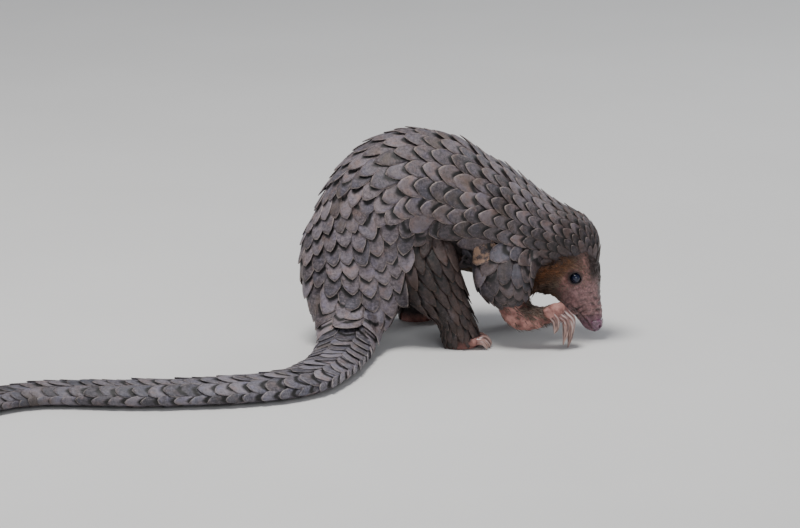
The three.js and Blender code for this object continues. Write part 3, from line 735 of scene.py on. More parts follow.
class Wire:
    """A value in a node tree: a formula with it makes the nodes that work it out."""

    def __init__(self, nodes, socket):
        self.nodes, self.socket = nodes, socket
        self.plain = socket.type == "VALUE"

    def worked_out(self, operation, one, other):
        kind = "ShaderNodeMath" if self.plain else "ShaderNodeVectorMath"
        return self.nodes.get(kind, 0, {0: one, 1: other}, operation=operation)

    def __add__(self, other):
        return self.worked_out("ADD", self, other)

    def __radd__(self, other):
        return self.worked_out("ADD", other, self)

    def __sub__(self, other):
        return self.worked_out("SUBTRACT", self, other)

    def __rsub__(self, other):
        return self.worked_out("SUBTRACT", other, self)

    def __mul__(self, other):
        """A number times a number, a vector times a vector, or a vector made longer by a number."""
        if self.plain or isinstance(other, tuple):
            return self.worked_out("MULTIPLY", self, other)
        return self.nodes.get("ShaderNodeVectorMath", 0, {0: self, "Scale": other}, operation="SCALE")


class Nodes:
    """Writes a node tree line by line."""

    def __init__(self, tree):
        self.tree = tree

    def plug(self, socket, value):
        """Links a value of the tree to a socket, or sets the socket to a number, colour or vector."""
        if isinstance(value, Wire):
            self.tree.links.new(value.socket, socket)
        elif socket.type == "RGBA":
            socket.default_value = (*value, 1.0)
        else:
            socket.default_value = value

    def add(self, kind, values=None, **settings):
        made = self.tree.nodes.new(kind)
        for key, value in settings.items():
            setattr(made, key, value)
        for key, value in (values or {}).items():
            self.plug(made.inputs[key], value)
        return made

    def get(self, kind, output, values=None, **settings):
        """One output of a new node."""
        return Wire(self, self.add(kind, values, **settings).outputs[output])

    def named(self, name, kind="FLOAT"):
        """A value that the mesh carries under this name."""
        return self.get("GeometryNodeInputNamedAttribute", "Attribute", {"Name": name}, data_type=kind)


def new_tree(name, inputs):
    """A tree of geometry nodes with named inputs, and the values given to it."""
    tree = bpy.data.node_groups.new(name, "GeometryNodeTree")
    tree.interface.new_socket("Geometry", in_out="INPUT", socket_type="NodeSocketGeometry")
    for label, (kind, value) in inputs.items():
        socket = tree.interface.new_socket(label, in_out="INPUT", socket_type="NodeSocket" + kind)
        if value is not None:
            socket.default_value = value
    tree.interface.new_socket("Geometry", in_out="OUTPUT", socket_type="NodeSocketGeometry")
    n = Nodes(tree)
    return n, {socket.name: Wire(n, socket) for socket in n.add("NodeGroupInput").outputs}


def laid_out(n, given):
    """The given form on each point of the mesh, turned and sized by the point's own values, as one mesh."""
    form = n.get("GeometryNodeObjectInfo", "Geometry", {"Object": given["Form"]})
    points = n.get("GeometryNodeMeshToPoints", "Points", {"Mesh": given["Geometry"]})
    axes = {"Primary Axis": n.named("out", "FLOAT_VECTOR"), "Secondary Axis": n.named("lie", "FLOAT_VECTOR")}
    turned = n.get("FunctionNodeAxesToRotation", "Rotation", axes, primary_axis="Z", secondary_axis="Y")
    size = n.named("size", "FLOAT_VECTOR")
    copies = {"Points": points, "Instance": form, "Rotation": turned, "Scale": size}
    laid = n.get("GeometryNodeInstanceOnPoints", "Instances", copies)
    return n.get("GeometryNodeRealizeInstances", "Geometry", {"Geometry": laid})


def finished(n, given, geometry):
    """Ends a tree: the geometry gets the given finish."""
    done = {"Geometry": geometry, "Material": given["Finish"]}
    n.add("NodeGroupOutput", {"Geometry": n.get("GeometryNodeSetMaterial", "Geometry", done)})
    return n.tree


def scale_tree():
    """Lays one plate on each point, bends it to the body and lifts its free edge."""
    n, given = new_tree("lay_scales", {
        "Form": ("Object", None), "Body": ("Object", None), "Finish": ("Material", None),
        "Wear": ("Float", EDGE_WEAR * MM), "Root Depth": ("Float", ROOT_DEPTH * MM),
    })
    solid = laid_out(n, given)
    carrier = n.get("GeometryNodeObjectInfo", "Geometry", {"Object": given["Body"]})
    here = n.get("GeometryNodeInputPosition", "Position")
    uneven = {"Vector": here, "Scale": 330.0, "Detail": 1.0}
    stray = n.get("ShaderNodeTexNoise", "Color", uneven, noise_dimensions="3D") - (0.5, 0.5, 0.5)
    stray = stray * (n.named("edge") * given["Wear"])
    across = n.get("ShaderNodeSeparateXYZ", "X", {"Vector": n.named("local", "FLOAT_VECTOR")})
    skewed = n.named("lie", "FLOAT_VECTOR") * (across * n.named("rise") * n.named("skew"))
    spot = here + stray * 3.0 + skewed

    def on_body(value):
        """The body's value where it is nearest to the spot."""
        sample = {"Mesh": carrier, "Value": value, "Sample Position": spot}
        return n.get("GeometryNodeSampleNearestSurface", "Value", sample, data_type="FLOAT_VECTOR")

    facing = on_body(n.named("facing", "FLOAT_VECTOR"))
    facing = n.get("ShaderNodeVectorMath", 0, {0: facing}, operation="NORMALIZE")
    height = n.named("rise") * n.named("lift") + n.named("build") * n.named("thick")
    height = height + across * n.named("tilt") - given["Root Depth"]
    moved = {"Geometry": solid, "Position": on_body(here) + facing * height}
    return finished(n, given, n.get("GeometryNodeSetPosition", "Geometry", moved))


scale_nodes = scale_tree()


def grown(holder, tree, **inputs):
    """What a tree of nodes makes of the holder's points, as a plain mesh object."""
    modifier = holder.modifiers.new(tree.name, "NODES")
    modifier.node_group = tree
    for item in tree.interface.items_tree:
        if item.in_out == "INPUT" and item.name in inputs:
            modifier[item.identifier] = inputs[item.name]
    return evaluated(holder)


def drop_drawn_out(mesh, sizes):
    """Takes away scales that bending drew out over a gap between two limbs."""
    cell = np.round(get_attribute(mesh, "cell")).astype(int)
    spots = places_of(mesh)
    count = np.bincount(cell, minlength=len(sizes))
    middle = np.stack([np.bincount(cell, place, len(sizes)) for place in spots.T], 1) / count[:, None]
    far = np.zeros(len(sizes))
    np.maximum.at(far, cell, np.linalg.norm(spots - middle[cell], axis=1))
    work = bmesh.new()
    work.from_mesh(mesh)
    bad = np.nonzero((far > DRAWN_OUT * sizes * MM)[cell])[0]
    work.verts.ensure_lookup_table()
    bmesh.ops.delete(work, geom=[work.verts[k] for k in bad], context="VERTS")
    work.to_mesh(mesh)
    work.free()


def lay_scales(name, scales, finish):
    """One piece of the scales in a list of dicts."""
    column = {key: np.array([scale[key] for scale in scales], float) for key in scales[0]}
    width, length = column["width"], column["length"]
    holder = mesh_in_metres(name, metres(column["spot"]), [])
    for key in ("lie", "out", "cover", "soil", "cool", "worn"):
        put_attribute(holder, key, column[key])
    put_attribute(holder, "size", np.stack([width, length, np.ones(len(width))], 1) * MM)
    put_attribute(holder, "lift", column["lift"] * MM)
    put_attribute(holder, "tilt", column["tilt"] * MM)
    put_attribute(holder, "skew", rng.normal(0, 0.05, len(scales)) * length * MM)
    put_attribute(holder, "thick", MM * np.minimum(1, width / THICK_WIDTH))
    put_attribute(holder, "tone", rng.random(len(scales)))
    put_attribute(holder, "cell", np.arange(len(scales)))
    piece = grown(holder, scale_nodes, Form=plate, Body=body, Finish=finish)
    mesh = piece.data
    drop_drawn_out(mesh, np.hypot(width, length))
    lift_off_floor(mesh)
    # Places in millimetres on each scale, for its pattern, and its own square of the map
    local = get_attribute(mesh, "local", 3)
    cell = np.round(get_attribute(mesh, "cell")).astype(int)
    grain = [local[:, 0] * width[cell] / 2, local[:, 1] * length[cell], get_attribute(mesh, "tone") * 90]
    put_attribute(piece, "grain", np.stack(grain, 1))
    # How far each point lies past the edge of the scale over it, where a painted shadow is laid
    covered = tip_line(local[:, 0]) - 1 + get_attribute(mesh, "cover")
    put_attribute(piece, "bared", (local[:, 1] - covered) * length[cell])
    squares = math.ceil(math.sqrt(len(scales)))
    places, vertex = map_of(mesh)
    square = cell[vertex]
    put_map(mesh, (places + np.stack([square % squares, square // squares], 1)) / squares)
    worked_in = "lie out size lift tilt skew thick cell rise build local cover"
    drop_attributes(mesh, [key for key in worked_in.split() if key in mesh.attributes])
    return piece


# Pitch of the scales along the skin, space between their columns and lift of their free edges, by the
# distance back from the nose
PITCH_BACK = (60, 75, 95, 130, 200, 400, 444)
PITCH = (6.5, 7.5, 9.5, 13.5, 15.5, 15.5, 16)
SPACE_BACK = (60, 75, 95, 130, 170, 205, 260, 300, 370, 395, 415, 444)
SPACE = (6.6, 7.6, 9.3, 12, 15.5, 18.5, 18.5, 16.5, 16, 19.5, 24, 26.5)
LIFT_BACK = (60, 75, 110, 160)
LIFT = (1.5, 2.0, 3.4, 4.8)

# Share of the skin's own stretching in a bend that widens the pitch, and neighbours that it is evened over
BEND_SHARE = 0.62
EVEN_REACH = 12

# Lines of scales on each side of the back, and where on the flank neighbouring lines are half a pitch apart
TRUNK_LINES = 13
FLANK_BACK = 235

# How far the middle of a scale may lie from its edge, against its size, before it counts as drawn out
DRAWN_OUT = 0.72

# Width of a scale against its space, the width from which it is fully thick, and how its lie strays
WIDTH_SHARE = 1.24
THICK_WIDTH = 14
LIE_STRAY = 0.05


def scale_at(spot, out, lie, space, pitch, lift, tilt, soil):
    """One scale: where and how it lies, its size and its marks."""
    width = space * WIDTH_SHARE
    length = 1.2 * pitch + 0.8 * width
    lie = unit(lie + np.cross(out, lie) * rng.normal(0, LIE_STRAY))
    return {
        "spot": spot, "out": out, "lie": lie, "pitch": pitch, "tilt": tilt, "length": length,
        "width": width * rng.uniform(0.93, 1.07), "lift": lift * rng.uniform(0.75, 1.3),
        "cover": 1 - pitch / length, "soil": soil, "cool": 0.25 * rng.random(), "worn": 0.0,
    }


def evened(values):
    """A list of values softened over its neighbours."""
    window = np.exp(-((np.arange(-EVEN_REACH, EVEN_REACH + 1) / (EVEN_REACH / 2)) ** 2))
    whole = slice(EVEN_REACH, EVEN_REACH + len(values))
    return np.convolve(values, window)[whole] / np.convolve(np.ones(len(values)), window)[whole]


def trunk_places():
    """Places of scales in lines along the trunk: along, turn, spot, outward way, lie, space and pitch."""
    alongs = np.arange(0.5, trunk.length - BROW_BACK[0] + 3, 2.0)
    space = np.interp(trunk.length - alongs, SPACE_BACK, SPACE)
    for line, turns in trunk.columns(alongs, space, TRUNK_LINES):
        fit = np.abs(turns) < OFF_TUBE
        if fit.sum() < 4:
            continue
        places, round_it = alongs[fit], turns[fit]
        speed = np.gradient(trunk.points(places, round_it)[0], places, axis=0)
        even = evened(np.linalg.norm(speed, axis=1))
        rate = even**BEND_SHARE / np.interp(trunk.length - places, PITCH_BACK, PITCH)
        phase = np.concatenate([[0], np.cumsum((rate[1:] + rate[:-1]) / 2 * np.diff(places))])
        phase += 0.5 * (line % 2) - np.interp(trunk.length - FLANK_BACK, places, phase)
        lies = unit(-speed)
        for n in range(math.ceil(phase[0]), math.floor(phase[-1]) + 1):
            place = float(np.interp(n + rng.normal(0, 0.045), phase, places))
            turn = float(np.interp(place, places, round_it))
            spot, out = trunk.points(place, turn)
            lie = unit(np.array([np.interp(place, places, lies[:, axis]) for axis in range(3)]))
            room = float(np.interp(trunk.length - place, SPACE_BACK, SPACE))
            yield place, turn, spot[0], out[0], lie, room, float(np.interp(place, places, even / rate))


# Places over the right and left thigh between which the flank's scales turn down the leg, from the front
# to the rear, from the top and from behind, and the way that they then lie
THIGH_RIGHT, THIGH_LEFT = (120, 88), (95, 63)
THIGH_TOP, THIGH_REAR = (142, 98), (20, 50)
THIGH_LIE = np.array([-0.1, 0, -1.3])


def swept_down(spot, out, lie, turn):
    """Towards the thigh the lie of the flank turns down the leg."""
    across = THIGH_RIGHT if turn > 0 else THIGH_LEFT
    share = falling(spot[2], *THIGH_TOP) * falling(spot[0], *across) * smooth(spot[0], *THIGH_REAR)
    lie = lie + share * (THIGH_LIE - lie)
    return unit(lie - out * lie.dot(out))


def trunk_scales():
    """Scales over back, flanks and crown."""
    for place, turn, spot, out, lie, space, pitch in trunk_places():
        back = trunk.length - place
        if scaly(np.array([place]), np.array([turn]))[0] < 0.5:
            continue
        lift = float(np.interp(back, LIFT_BACK, LIFT))
        # Soil, with painted shade, darkens the scales of the head, those low on the flanks and, a little,
        # those over the shoulders
        soil = max(0.9 * (1 - smooth(back, 95, 150)), 0.75 * smooth(abs(turn), 1.3, 2.1))
        soil = float(max(soil, 0.45 - 0.45 * smooth(back, 180, 320)))
        lie = swept_down(spot, out, lie, turn)
        scale = scale_at(spot, out, lie, space, pitch, lift, -0.5 * math.sin(turn), soil)
        scale["right"], scale["side"] = turn >= 0, abs(turn)
        yield scale


# Lines of scales round each limb, how wide a scale is next to their spacing, its pitch below and above,
# the length that is bare at the foot or cuff, how much painted bluish sky light it gets, how dark it is
# with soil and painted shade, and how far its lie is swept back at the top. On the inner side the scales
# start higher up.
HIND_PLAN = {"wide": 1.1, "bare": 12, "cool": 0.1, "soil": 1.25, "swept": 0.0}
FORE_PLAN = {"lines": 14, "wide": 1.45, "pitch": (9, 18), "bare": 3, "cool": 0.9, "soil": 0.8, "swept": 0.65}
LIMB_PLAN = {
    "hind_right": {"lines": 18, "pitch": (15, 22), **HIND_PLAN},
    "hind_left": {"lines": 16, "pitch": (14, 20), **HIND_PLAN},
    "fore_right": FORE_PLAN,
    "fore_left": FORE_PLAN,
}
LIMB_TOP = 6
LIMB_LIFT = 3.6
INNER_TURN, INNER_BARE = 2.2, 30


def limb_scales(tube, plan):
    """Scales round a limb, from above its bare end up into the body."""
    along, row = plan["bare"], 0
    while along < tube.length - LIMB_TOP:
        part = along / tube.length
        pitch = float(np.interp(part, (0.1, 0.8), plan["pitch"]))
        for line in range(row % 2, plan["lines"], 2):
            turn = line * FULL_TURN / plan["lines"]
            inner = abs(math.atan2(math.sin(turn), math.cos(turn))) > INNER_TURN
            if inner and along < INNER_BARE:
                continue
            spot, out = tube.points(along + rng.normal(0, 0.05) * pitch, turn + rng.normal(0, 0.02))
            behind = tube.points(max(along - 3, 0.1), turn)[0]
            space = FULL_TURN * tube.frame(np.array([along]))[4][0].mean() / plan["lines"]
            swept = plan["swept"] * float(smooth(part, 0.3, 0.8))
            lie = (1 - swept) * unit(behind[0] - spot[0]) + swept * np.array([-1, 0, -0.25])
            lie = unit(lie - out[0] * lie.dot(out[0]))
            scale = scale_at(spot[0], out[0], lie, space * plan["wide"], pitch, LIMB_LIFT, 0.0, plan["soil"])
            scale["cool"] = plan["cool"] * rng.random()
            yield scale
        along += pitch / 2
        row += 1


# Lines of scales round the tail, with those of its edges and of its underside, and half the pitch of the
# scales by the distance from the tip; the first row lies this far below the tail's root
TAIL_LINES, EDGE_LINES, UNDER_LINES = 8, (2, 6), (3, 4, 5)
TAIL_ALONG = (0, 60, 300, 560)
HALF_PITCH = (5, 6.5, 7.6, 7.8)
FIRST_ROW = 45.5
TOP_LIFT, UNDER_LIFT = 3.0, 1.6


def tail_scales():
    """Scales of the tail: a middle line, one on each side of it, the two edges and the underside."""
    along, row = tail.length - FIRST_ROW, 0
    while along > 8:
        step = float(np.interp(along, TAIL_ALONG, HALF_PITCH))
        for line in range((row + 1) % 2, TAIL_LINES, 2):
            turn = line * FULL_TURN / TAIL_LINES
            stray = rng.normal(0, 0.04, 2)
            spot, out = tail.points(along + stray[0] * 2 * step, turn + stray[1] * 0.6)
            behind = tail.points(max(along - 3, 0.1), turn)[0]
            half, over, under = tail.frame(np.array([along]))[4][0]
            around = math.pi * (half + (over + under) / 2)
            lift = (UNDER_LIFT if line in UNDER_LINES else TOP_LIFT) * min(1, along / 80 + 0.35)
            space = around / TAIL_LINES * (1.0 if line in EDGE_LINES else 1.2)
            # Darker towards the tail's tip: painted shade, with some soil
            soil = float(np.interp(along, (100, 420), (0.65, 0.05)))
            scale = scale_at(spot[0], out[0], unit(behind[0] - spot[0]), space, 2 * step, lift, 0.0, soil)
            # Painted bluish sky light, more of it towards the tail's tip
            scale["cool"] = rng.random() * float(np.interp(along, (100, 420), (0.7, 0.25)))
            yield scale
        along -= step
        row += 1


def tree_of(grid):
    spots, faces = grid
    return BVHTree.FromPolygons([Vector(s) for s in spots], [list(f) for f in faces])


def depth_in(tree, spot):
    """How deep a spot lies inside a closed form, in millimetres; negative outside."""
    near, normal, _, far = tree.find_nearest(Vector(spot))
    return far if (Vector(spot) - near).dot(normal) < 0 else -far


# Scales of trunk and limbs, without those that lie deeper than this in each other's forms
LIMB_SINK = 2
limb_trees = [tree_of(tube_grid(tube, rings(tube, 4), 32)) for tube in limbs.values()]
trunk_tree = tree_of(tube_grid(trunk, rings(trunk, 5), 60))
over_trunk = [s for s in trunk_scales() if max(depth_in(tree, s["spot"]) for tree in limb_trees) < LIMB_SINK]
over_limbs = [s for name, plan in LIMB_PLAN.items() for s in limb_scales(limbs[name], plan)]
over_limbs = [s for s in over_limbs if depth_in(trunk_tree, s["spot"]) < LIMB_SINK]

# Broad round scales on the near elbow: place, width, how worn it is and how much painted bluish sky light it
# gets
ELBOW_SCALES = [
    ((132, -46, 97), 23, 1.0, 0.0),
    ((151, -50, 98), 21, 0.0, 0.6),
    ((168, -48, 97), 16, 0.0, 0.25),
]
ELBOW_ROOM = 11
ELBOW_OUT, ELBOW_LIE = np.array([0, -1.0, 0]), np.array([-0.9, 0, -0.45])
ELBOW_PITCH, ELBOW_LIFT, ELBOW_SOIL_AND_SHADE = 15, 4, 0.3

# How deep a scale may be buried in a join, how far its points may be drawn apart or turned away in a
# fold, and how much room the trunk's scales need
BURIED = 6
TORN_STRETCH, TORN_FACING, TORN_TURN = 0.22, 0.75, 0.4
TRUNK_ROOM = 1.3

body_tree = BVHTree.FromObject(body, bpy.context.evaluated_depsgraph_get())


def buried(scale):
    """Moves a scale onto the joined body; true where it lay deep inside a join."""
    spot, normal, _, far = body_tree.find_nearest(Vector(metres(scale["spot"])))
    scale["spot"], scale["out"] = np.array(spot) / MM - ORIGIN, np.array(normal)
    scale["lie"] = unit(scale["lie"] - scale["out"] * scale["lie"].dot(scale["out"]))
    return far > BURIED * MM


def near_elbow(scale):
    return min(np.linalg.norm(scale["spot"] - np.array(spot)) for spot, *_ in ELBOW_SCALES) < ELBOW_ROOM


def torn(scale):
    """A scale that a fold of the body would pull far out of its shape."""
    ahead = scale["lie"] * scale["length"] / 2
    side = np.cross(scale["lie"], scale["out"]) * scale["width"] / 2
    middle = np.array(body_tree.find_nearest(Vector(metres(scale["spot"])))[0])
    worst = 0.0
    tip, root = 0.9 * ahead, -0.95 * ahead
    corners = (tip + 0.7 * side, tip - 0.7 * side, root + 0.8 * side, root - 0.8 * side)
    for way in (ahead, -ahead, side, -side, *corners):
        spot, normal, _, _ = body_tree.find_nearest(Vector(metres(scale["spot"] + way)))
        stretch = np.linalg.norm(np.array(spot) - middle) / (np.linalg.norm(way) * MM) - 1
        turned = TORN_FACING - normal.dot(Vector(scale["out"]))
        worst = max(worst, stretch / TORN_STRETCH, turned / TORN_TURN)
    return worst > 1


def crowded(scale, others, room=1.0):
    """A scale is left out where one of the others lies over most of it."""
    if not others:
        return False
    off = np.array([other["spot"] for other in others]) - scale["spot"]
    ahead = off @ scale["lie"] / (0.5 * scale["pitch"])
    across = off @ np.cross(scale["lie"], scale["out"]) / (0.5 * scale["width"])
    return (np.hypot(ahead, across) + 0.1 * np.abs(off @ scale["out"])).min() < room


elbow = []
for spot, width, worn, cool in ELBOW_SCALES:
    spot = np.array(spot, float)
    scale = scale_at(spot, ELBOW_OUT, ELBOW_LIE, width, ELBOW_PITCH, ELBOW_LIFT, 0.0, ELBOW_SOIL_AND_SHADE)
    scale.update({"width": width, "length": 1.25 * width, "worn": worn, "cool": cool})
    buried(scale)
    elbow.append(scale)

# From the back downwards, each scale that finds room and isn't pulled out of shape
placed = []
for scale in sorted(over_trunk, key=lambda scale: scale["side"]):
    if not (buried(scale) or near_elbow(scale) or crowded(scale, placed, TRUNK_ROOM) or torn(scale)):
        placed.append(scale)
over_trunk = placed
over_limbs = [s for s in over_limbs if not (buried(s) or near_elbow(s) or crowded(s, over_trunk) or torn(s))]
over_limbs += elbow
all_over = over_trunk + over_limbs

# Where trunk and limbs meet, neighbouring scales within this reach share one lie
LIE_REACH = 12
spots, outs, lies = (np.array([scale[key] for scale in all_over]) for key in ("spot", "out", "lie"))
apart = np.linalg.norm(spots[:, None] - spots[None], axis=2)
near = np.exp(-((apart / LIE_REACH) ** 2)) * (outs @ outs.T > 0.3)
for _ in range(2):
    lies = near @ lies
    lies = unit(lies - outs * (lies * outs).sum(1)[:, None])
for scale, lie in zip(all_over, lies):
    scale["lie"] = lie
lengths = np.array([scale["length"] for scale in all_over])


def root_cover(scale):
    """Share of a scale that lies under the scales straight behind it; -1 where there are none."""
    off = spots - scale["spot"]
    behind = -(off @ scale["lie"])
    across = np.abs(off @ np.cross(scale["lie"], scale["out"])) / scale["width"]
    beneath = np.abs(off @ scale["out"]) < 0.7 * scale["width"]
    over = beneath & (across < 0.4) & (behind > 0.5 * scale["pitch"]) & (behind < 1.6 * scale["pitch"])
    return 0.5 - (behind - lengths / 2)[over].min() / scale["length"] if over.any() else -1


for scale in all_over:
    scale["cover"] = root_cover(scale)


# Hair

# Sides of a lock, shares of its length where it has rings, its width at the root and its patch in the map
LOCK_TURNS = 3
LOCK_REACH = (0, 0.35, 0.7)
LOCK_WIDTH = 0.09
LOCK_PATCH = 0.003


def lock_form():
    """A tapered lock of hair of unit length that rises from its root and bends over along +Y."""

    def middle(reach):
        return np.array([0, reach, 0.42 * reach - 0.26 * reach * reach - 0.06])

    spots, reaches = [], []
    for reach in LOCK_REACH:
        for k in range(LOCK_TURNS):
            angle = FULL_TURN * k / LOCK_TURNS
            width = LOCK_WIDTH * (1 - 0.75 * reach)
            round_it = np.array([math.sin(angle) * width, 0, math.cos(angle) * width * 0.6])
            spots.append(middle(reach) + round_it)
            reaches.append(reach)
    last = len(spots)
    spots.append(middle(1.0))
    reaches.append(1.0)
    faces = [tuple(range(LOCK_TURNS))]
    for ring in range(0, last, LOCK_TURNS):
        for k in range(LOCK_TURNS):
            here, after = ring + k, ring + (k + 1) % LOCK_TURNS
            tip = ring + LOCK_TURNS == last
            faces.append((after, here, last) if tip else (after, here, here + LOCK_TURNS, after + LOCK_TURNS))
    form = mesh_in_metres("lock_form", spots, faces)
    put_attribute(form, "reach", reaches)
    layer = form.data.uv_layers.new(name="OFBake")
    for loop, corner in zip(form.data.loops, layer.data):
        corner.uv = (loop.vertex_index % LOCK_TURNS / LOCK_TURNS, reaches[loop.vertex_index])
    return form


lock = lock_form()


def hair_tree():
    """Plants one lock on each point, turned along its lie and as long as its size."""
    n, given = new_tree("plant_hair", {"Form": ("Object", None), "Finish": ("Material", None)})
    return finished(n, given, laid_out(n, given))


hair_nodes = hair_tree()


# Finishes

# Colours as linear red, green and blue: horn of body and tail, and what tints it: dust, soil with painted
# shade, painted bluish sheen and sky light, wear, and the painted shadow under the scales' edges
HORN_DARK, HORN_LIGHT, HORN_EDGE = (0.048, 0.037, 0.040), (0.275, 0.225, 0.240), (0.50, 0.41, 0.37)
TAIL_DARK, TAIL_LIGHT, TAIL_EDGE = (0.050, 0.044, 0.052), (0.295, 0.263, 0.295), (0.42, 0.37, 0.35)
HORN_DUST, TAIL_DUST = (0.15, 0.105, 0.070), (0.13, 0.10, 0.07)
BLUE_PATCH_AND_SHEEN, RUST_TINT, SOIL_AND_SHADE_TINT = (0.85, 0.92, 1.25), (1.2, 0.95, 0.78), (0.25, 0.19, 0.155)
# The first colour below is a painted bluish light of the sky
PAINTED_SKY_BLUE, WORN_DARK, WORN_LIGHT = (0.135, 0.155, 0.215), (0.30, 0.165, 0.115), (0.56, 0.37, 0.25)
# Painted shadow under the free edges of the scales
PAINTED_EDGE_SHADOW = (0.007, 0.0055, 0.005)

# Skin of paws and rims, muzzle, cheek, forearm, under the nose, belly, painted shade in folds, shaded places
# and specks
PINK_DARK, PINK_LIGHT = (0.19, 0.076, 0.063), (0.49, 0.240, 0.203)
MUZZLE_DARK, MUZZLE_LIGHT = (0.195, 0.096, 0.091), (0.355, 0.185, 0.183)
CHEEK_DARK, CHEEK_LIGHT = (0.035, 0.012, 0.006), (0.105, 0.038, 0.016)
TAN_DARK, TAN_LIGHT = (0.035, 0.017, 0.012), (0.11, 0.055, 0.038)
MOIST_DARK, MOIST_LIGHT = (0.12, 0.046, 0.064), (0.24, 0.105, 0.14)
BELLY, FOLD_SHADE = (0.10, 0.060, 0.040), (0.035, 0.016, 0.015)
SHADED, SPECK = (0.020, 0.014, 0.013), (0.06, 0.035, 0.03)

# Claws from root to tip with dark streaks and pale ones that are partly painted highlights, and hair by its
# kind
CLAW_ROOT, CLAW_TIP = (0.25, 0.11, 0.095), (0.40, 0.25, 0.21)
STREAK_DARK, PALE_STREAK_AND_HIGHLIGHT = (0.060, 0.030, 0.028), (0.62, 0.53, 0.50)
RUST_HAIR, RUST_TIP = ((0.022, 0.008, 0.004), (0.22, 0.078, 0.026)), (0.38, 0.17, 0.065)
GREY_HAIR, GREY_TIP = ((0.035, 0.022, 0.017), (0.16, 0.095, 0.068)), (0.25, 0.17, 0.13)
PALE_HAIR = ((0.24, 0.17, 0.115), (0.50, 0.41, 0.31))
DAMP_HAIR, SHADED_HAIR = (0.030, 0.011, 0.006), (0.020, 0.013, 0.011)

# Nose pad, eye and floor
NOSE_DARK, NOSE_LIGHT = (0.085, 0.032, 0.056), (0.24, 0.098, 0.165)
EYE_DARK, EYE_LIGHT = (0.003, 0.005, 0.018), (0.008, 0.014, 0.045)
FLOOR_DARK, FLOOR_LIGHT = (0.72, 0.71, 0.69), (0.74, 0.73, 0.71)


class Finish(Nodes):
    """A material, written line by line."""

    def __init__(self, name):
        self.material = bpy.data.materials.new(name)
        self.material.use_nodes = True
        super().__init__(self.material.node_tree)
        self.tree.nodes.clear()
        self.shader = self.add("ShaderNodeBsdfPrincipled")
        self.add("ShaderNodeOutputMaterial", {"Surface": Wire(self, self.shader.outputs["BSDF"])})
        self.place = self.get("ShaderNodeTexCoord", "Object")

    def own(self, name, output="Fac"):
        """The value that the piece carries under this name."""
        return self.get("ShaderNodeAttribute", output, attribute_name=name)

    def ramp(self, value, low, high, to_low=0.0, to_high=1.0):
        """A soft step of a value between two limits."""
        limits = {"Value": value, "From Min": low, "From Max": high, "To Min": to_low, "To Max": to_high}
        return self.get("ShaderNodeMapRange", "Result", limits, interpolation_type="SMOOTHSTEP")

    def blend(self, share, one, other, way="MIX"):
        """One colour with a share of another."""
        return self.get("ShaderNodeMix", 2, {0: share, 6: one, 7: other}, data_type="RGBA", blend_type=way)

    def tint(self, share, colour, tint):
        """A colour multiplied by a tint where the share says."""
        return self.blend(share, colour, self.blend(1.0, colour, tint, "MULTIPLY"))

    def noise(self, fineness, detail=3.0, rough=0.55, at=None):
        """Noise from 0 to 1 over the piece, or over the vector `at`."""
        values = {"Vector": at or self.place, "Scale": fineness, "Detail": detail, "Roughness": rough}
        return self.get("ShaderNodeTexNoise", "Fac", values)

    def done(self, values, height=None, distance=0.0, strength=0.5):
        """The material with the shader's values set, and its fine relief by a height."""
        if height:
            bump = {"Height": height, "Distance": distance, "Strength": strength}
            values = {**values, "Normal": self.get("ShaderNodeBump", "Normal", bump)}
        for key, value in values.items():
            self.plug(self.shader.inputs[key], value)
        return self.material


def scale_finish(name, dark, light, edge_colour, dust):
    """Horn in plates: streaks along it, rings across it, a worn pale edge, and a painted shadow where the
    next scale ends over it.
    """
    n = Finish(name)
    grain = n.own("grain", "Vector")
    lines = n.noise(1.0, at=grain * (1.7, 0.16, 1.0))
    across = n.noise(1.0, 2.0, at=grain * (0.12, 0.6, 1.0))
    mottle = n.noise(330.0, 4.0, 0.65)
    share = n.own("tone") * 0.35 + lines * 0.3 + mottle * 0.8 + (across - 0.5) * 0.35
    colour = n.blend(n.ramp(share, 0.45, 1.02), dark, light)
    hue = n.noise(1.0, at=n.place * 90.0 + grain * 0.02)
    # Bluish patches at random, partly a painted bluish sheen of the sky
    colour = n.tint(n.ramp(hue, 0.53, 0.68, 0.0, 0.45), colour, BLUE_PATCH_AND_SHEEN)
    colour = n.tint(n.ramp(hue, 0.47, 0.34, 0.0, 0.6), colour, RUST_TINT)
    colour = n.blend(n.ramp(n.noise(38.0, 4.0), 0.52, 0.72, 0.0, 0.5), colour, dust)
    # Painted bluish sky light on some scales: a sheen on the forelimbs, a bluish cast towards the tail's tip
    colour = n.blend(n.own("cool") * n.ramp(n.noise(120.0), 0.35, 0.65, 0.3, 1.0), colour, PAINTED_SKY_BLUE)
    worn = n.own("worn") * n.ramp(n.noise(190.0, 4.0), 0.40, 0.58)
    colour = n.blend(worn, colour, n.blend(mottle, WORN_DARK, WORN_LIGHT))
    # Tiny pale specks, partly painted highlights of wet spots
    colour = n.blend(n.ramp(n.noise(900.0, 2.0), 0.66, 0.74, 0.0, 0.5), colour, edge_colour)
    wear = n.ramp(n.own("edge"), 0.62, 1.0) * n.ramp(n.noise(210.0), 0.34, 0.62, 0.15, 0.8)
    colour = n.blend(wear, colour, edge_colour)
    # Soil and painted shade darken the scale in patches
    colour = n.tint(n.own("soil") * n.ramp(n.noise(75.0, 4.0), 0.25, 0.6, 0.55, 1.0), colour, SOIL_AND_SHADE_TINT)
    # Painted shadow in a band just past the free edge of the scale that covers this one
    bared = n.own("bared")
    colour = n.blend(n.ramp(bared, 0.5, 5.0, 1.0, 0.0) * n.ramp(bared, -4.5, -1.5), colour, PAINTED_EDGE_SHADOW)
    height = lines * 0.8 + across * 0.6 + mottle * 0.5
    return n.done({"Base Color": colour, "Roughness": 0.38 + mottle * 0.3}, height, 0.0009, 0.8)


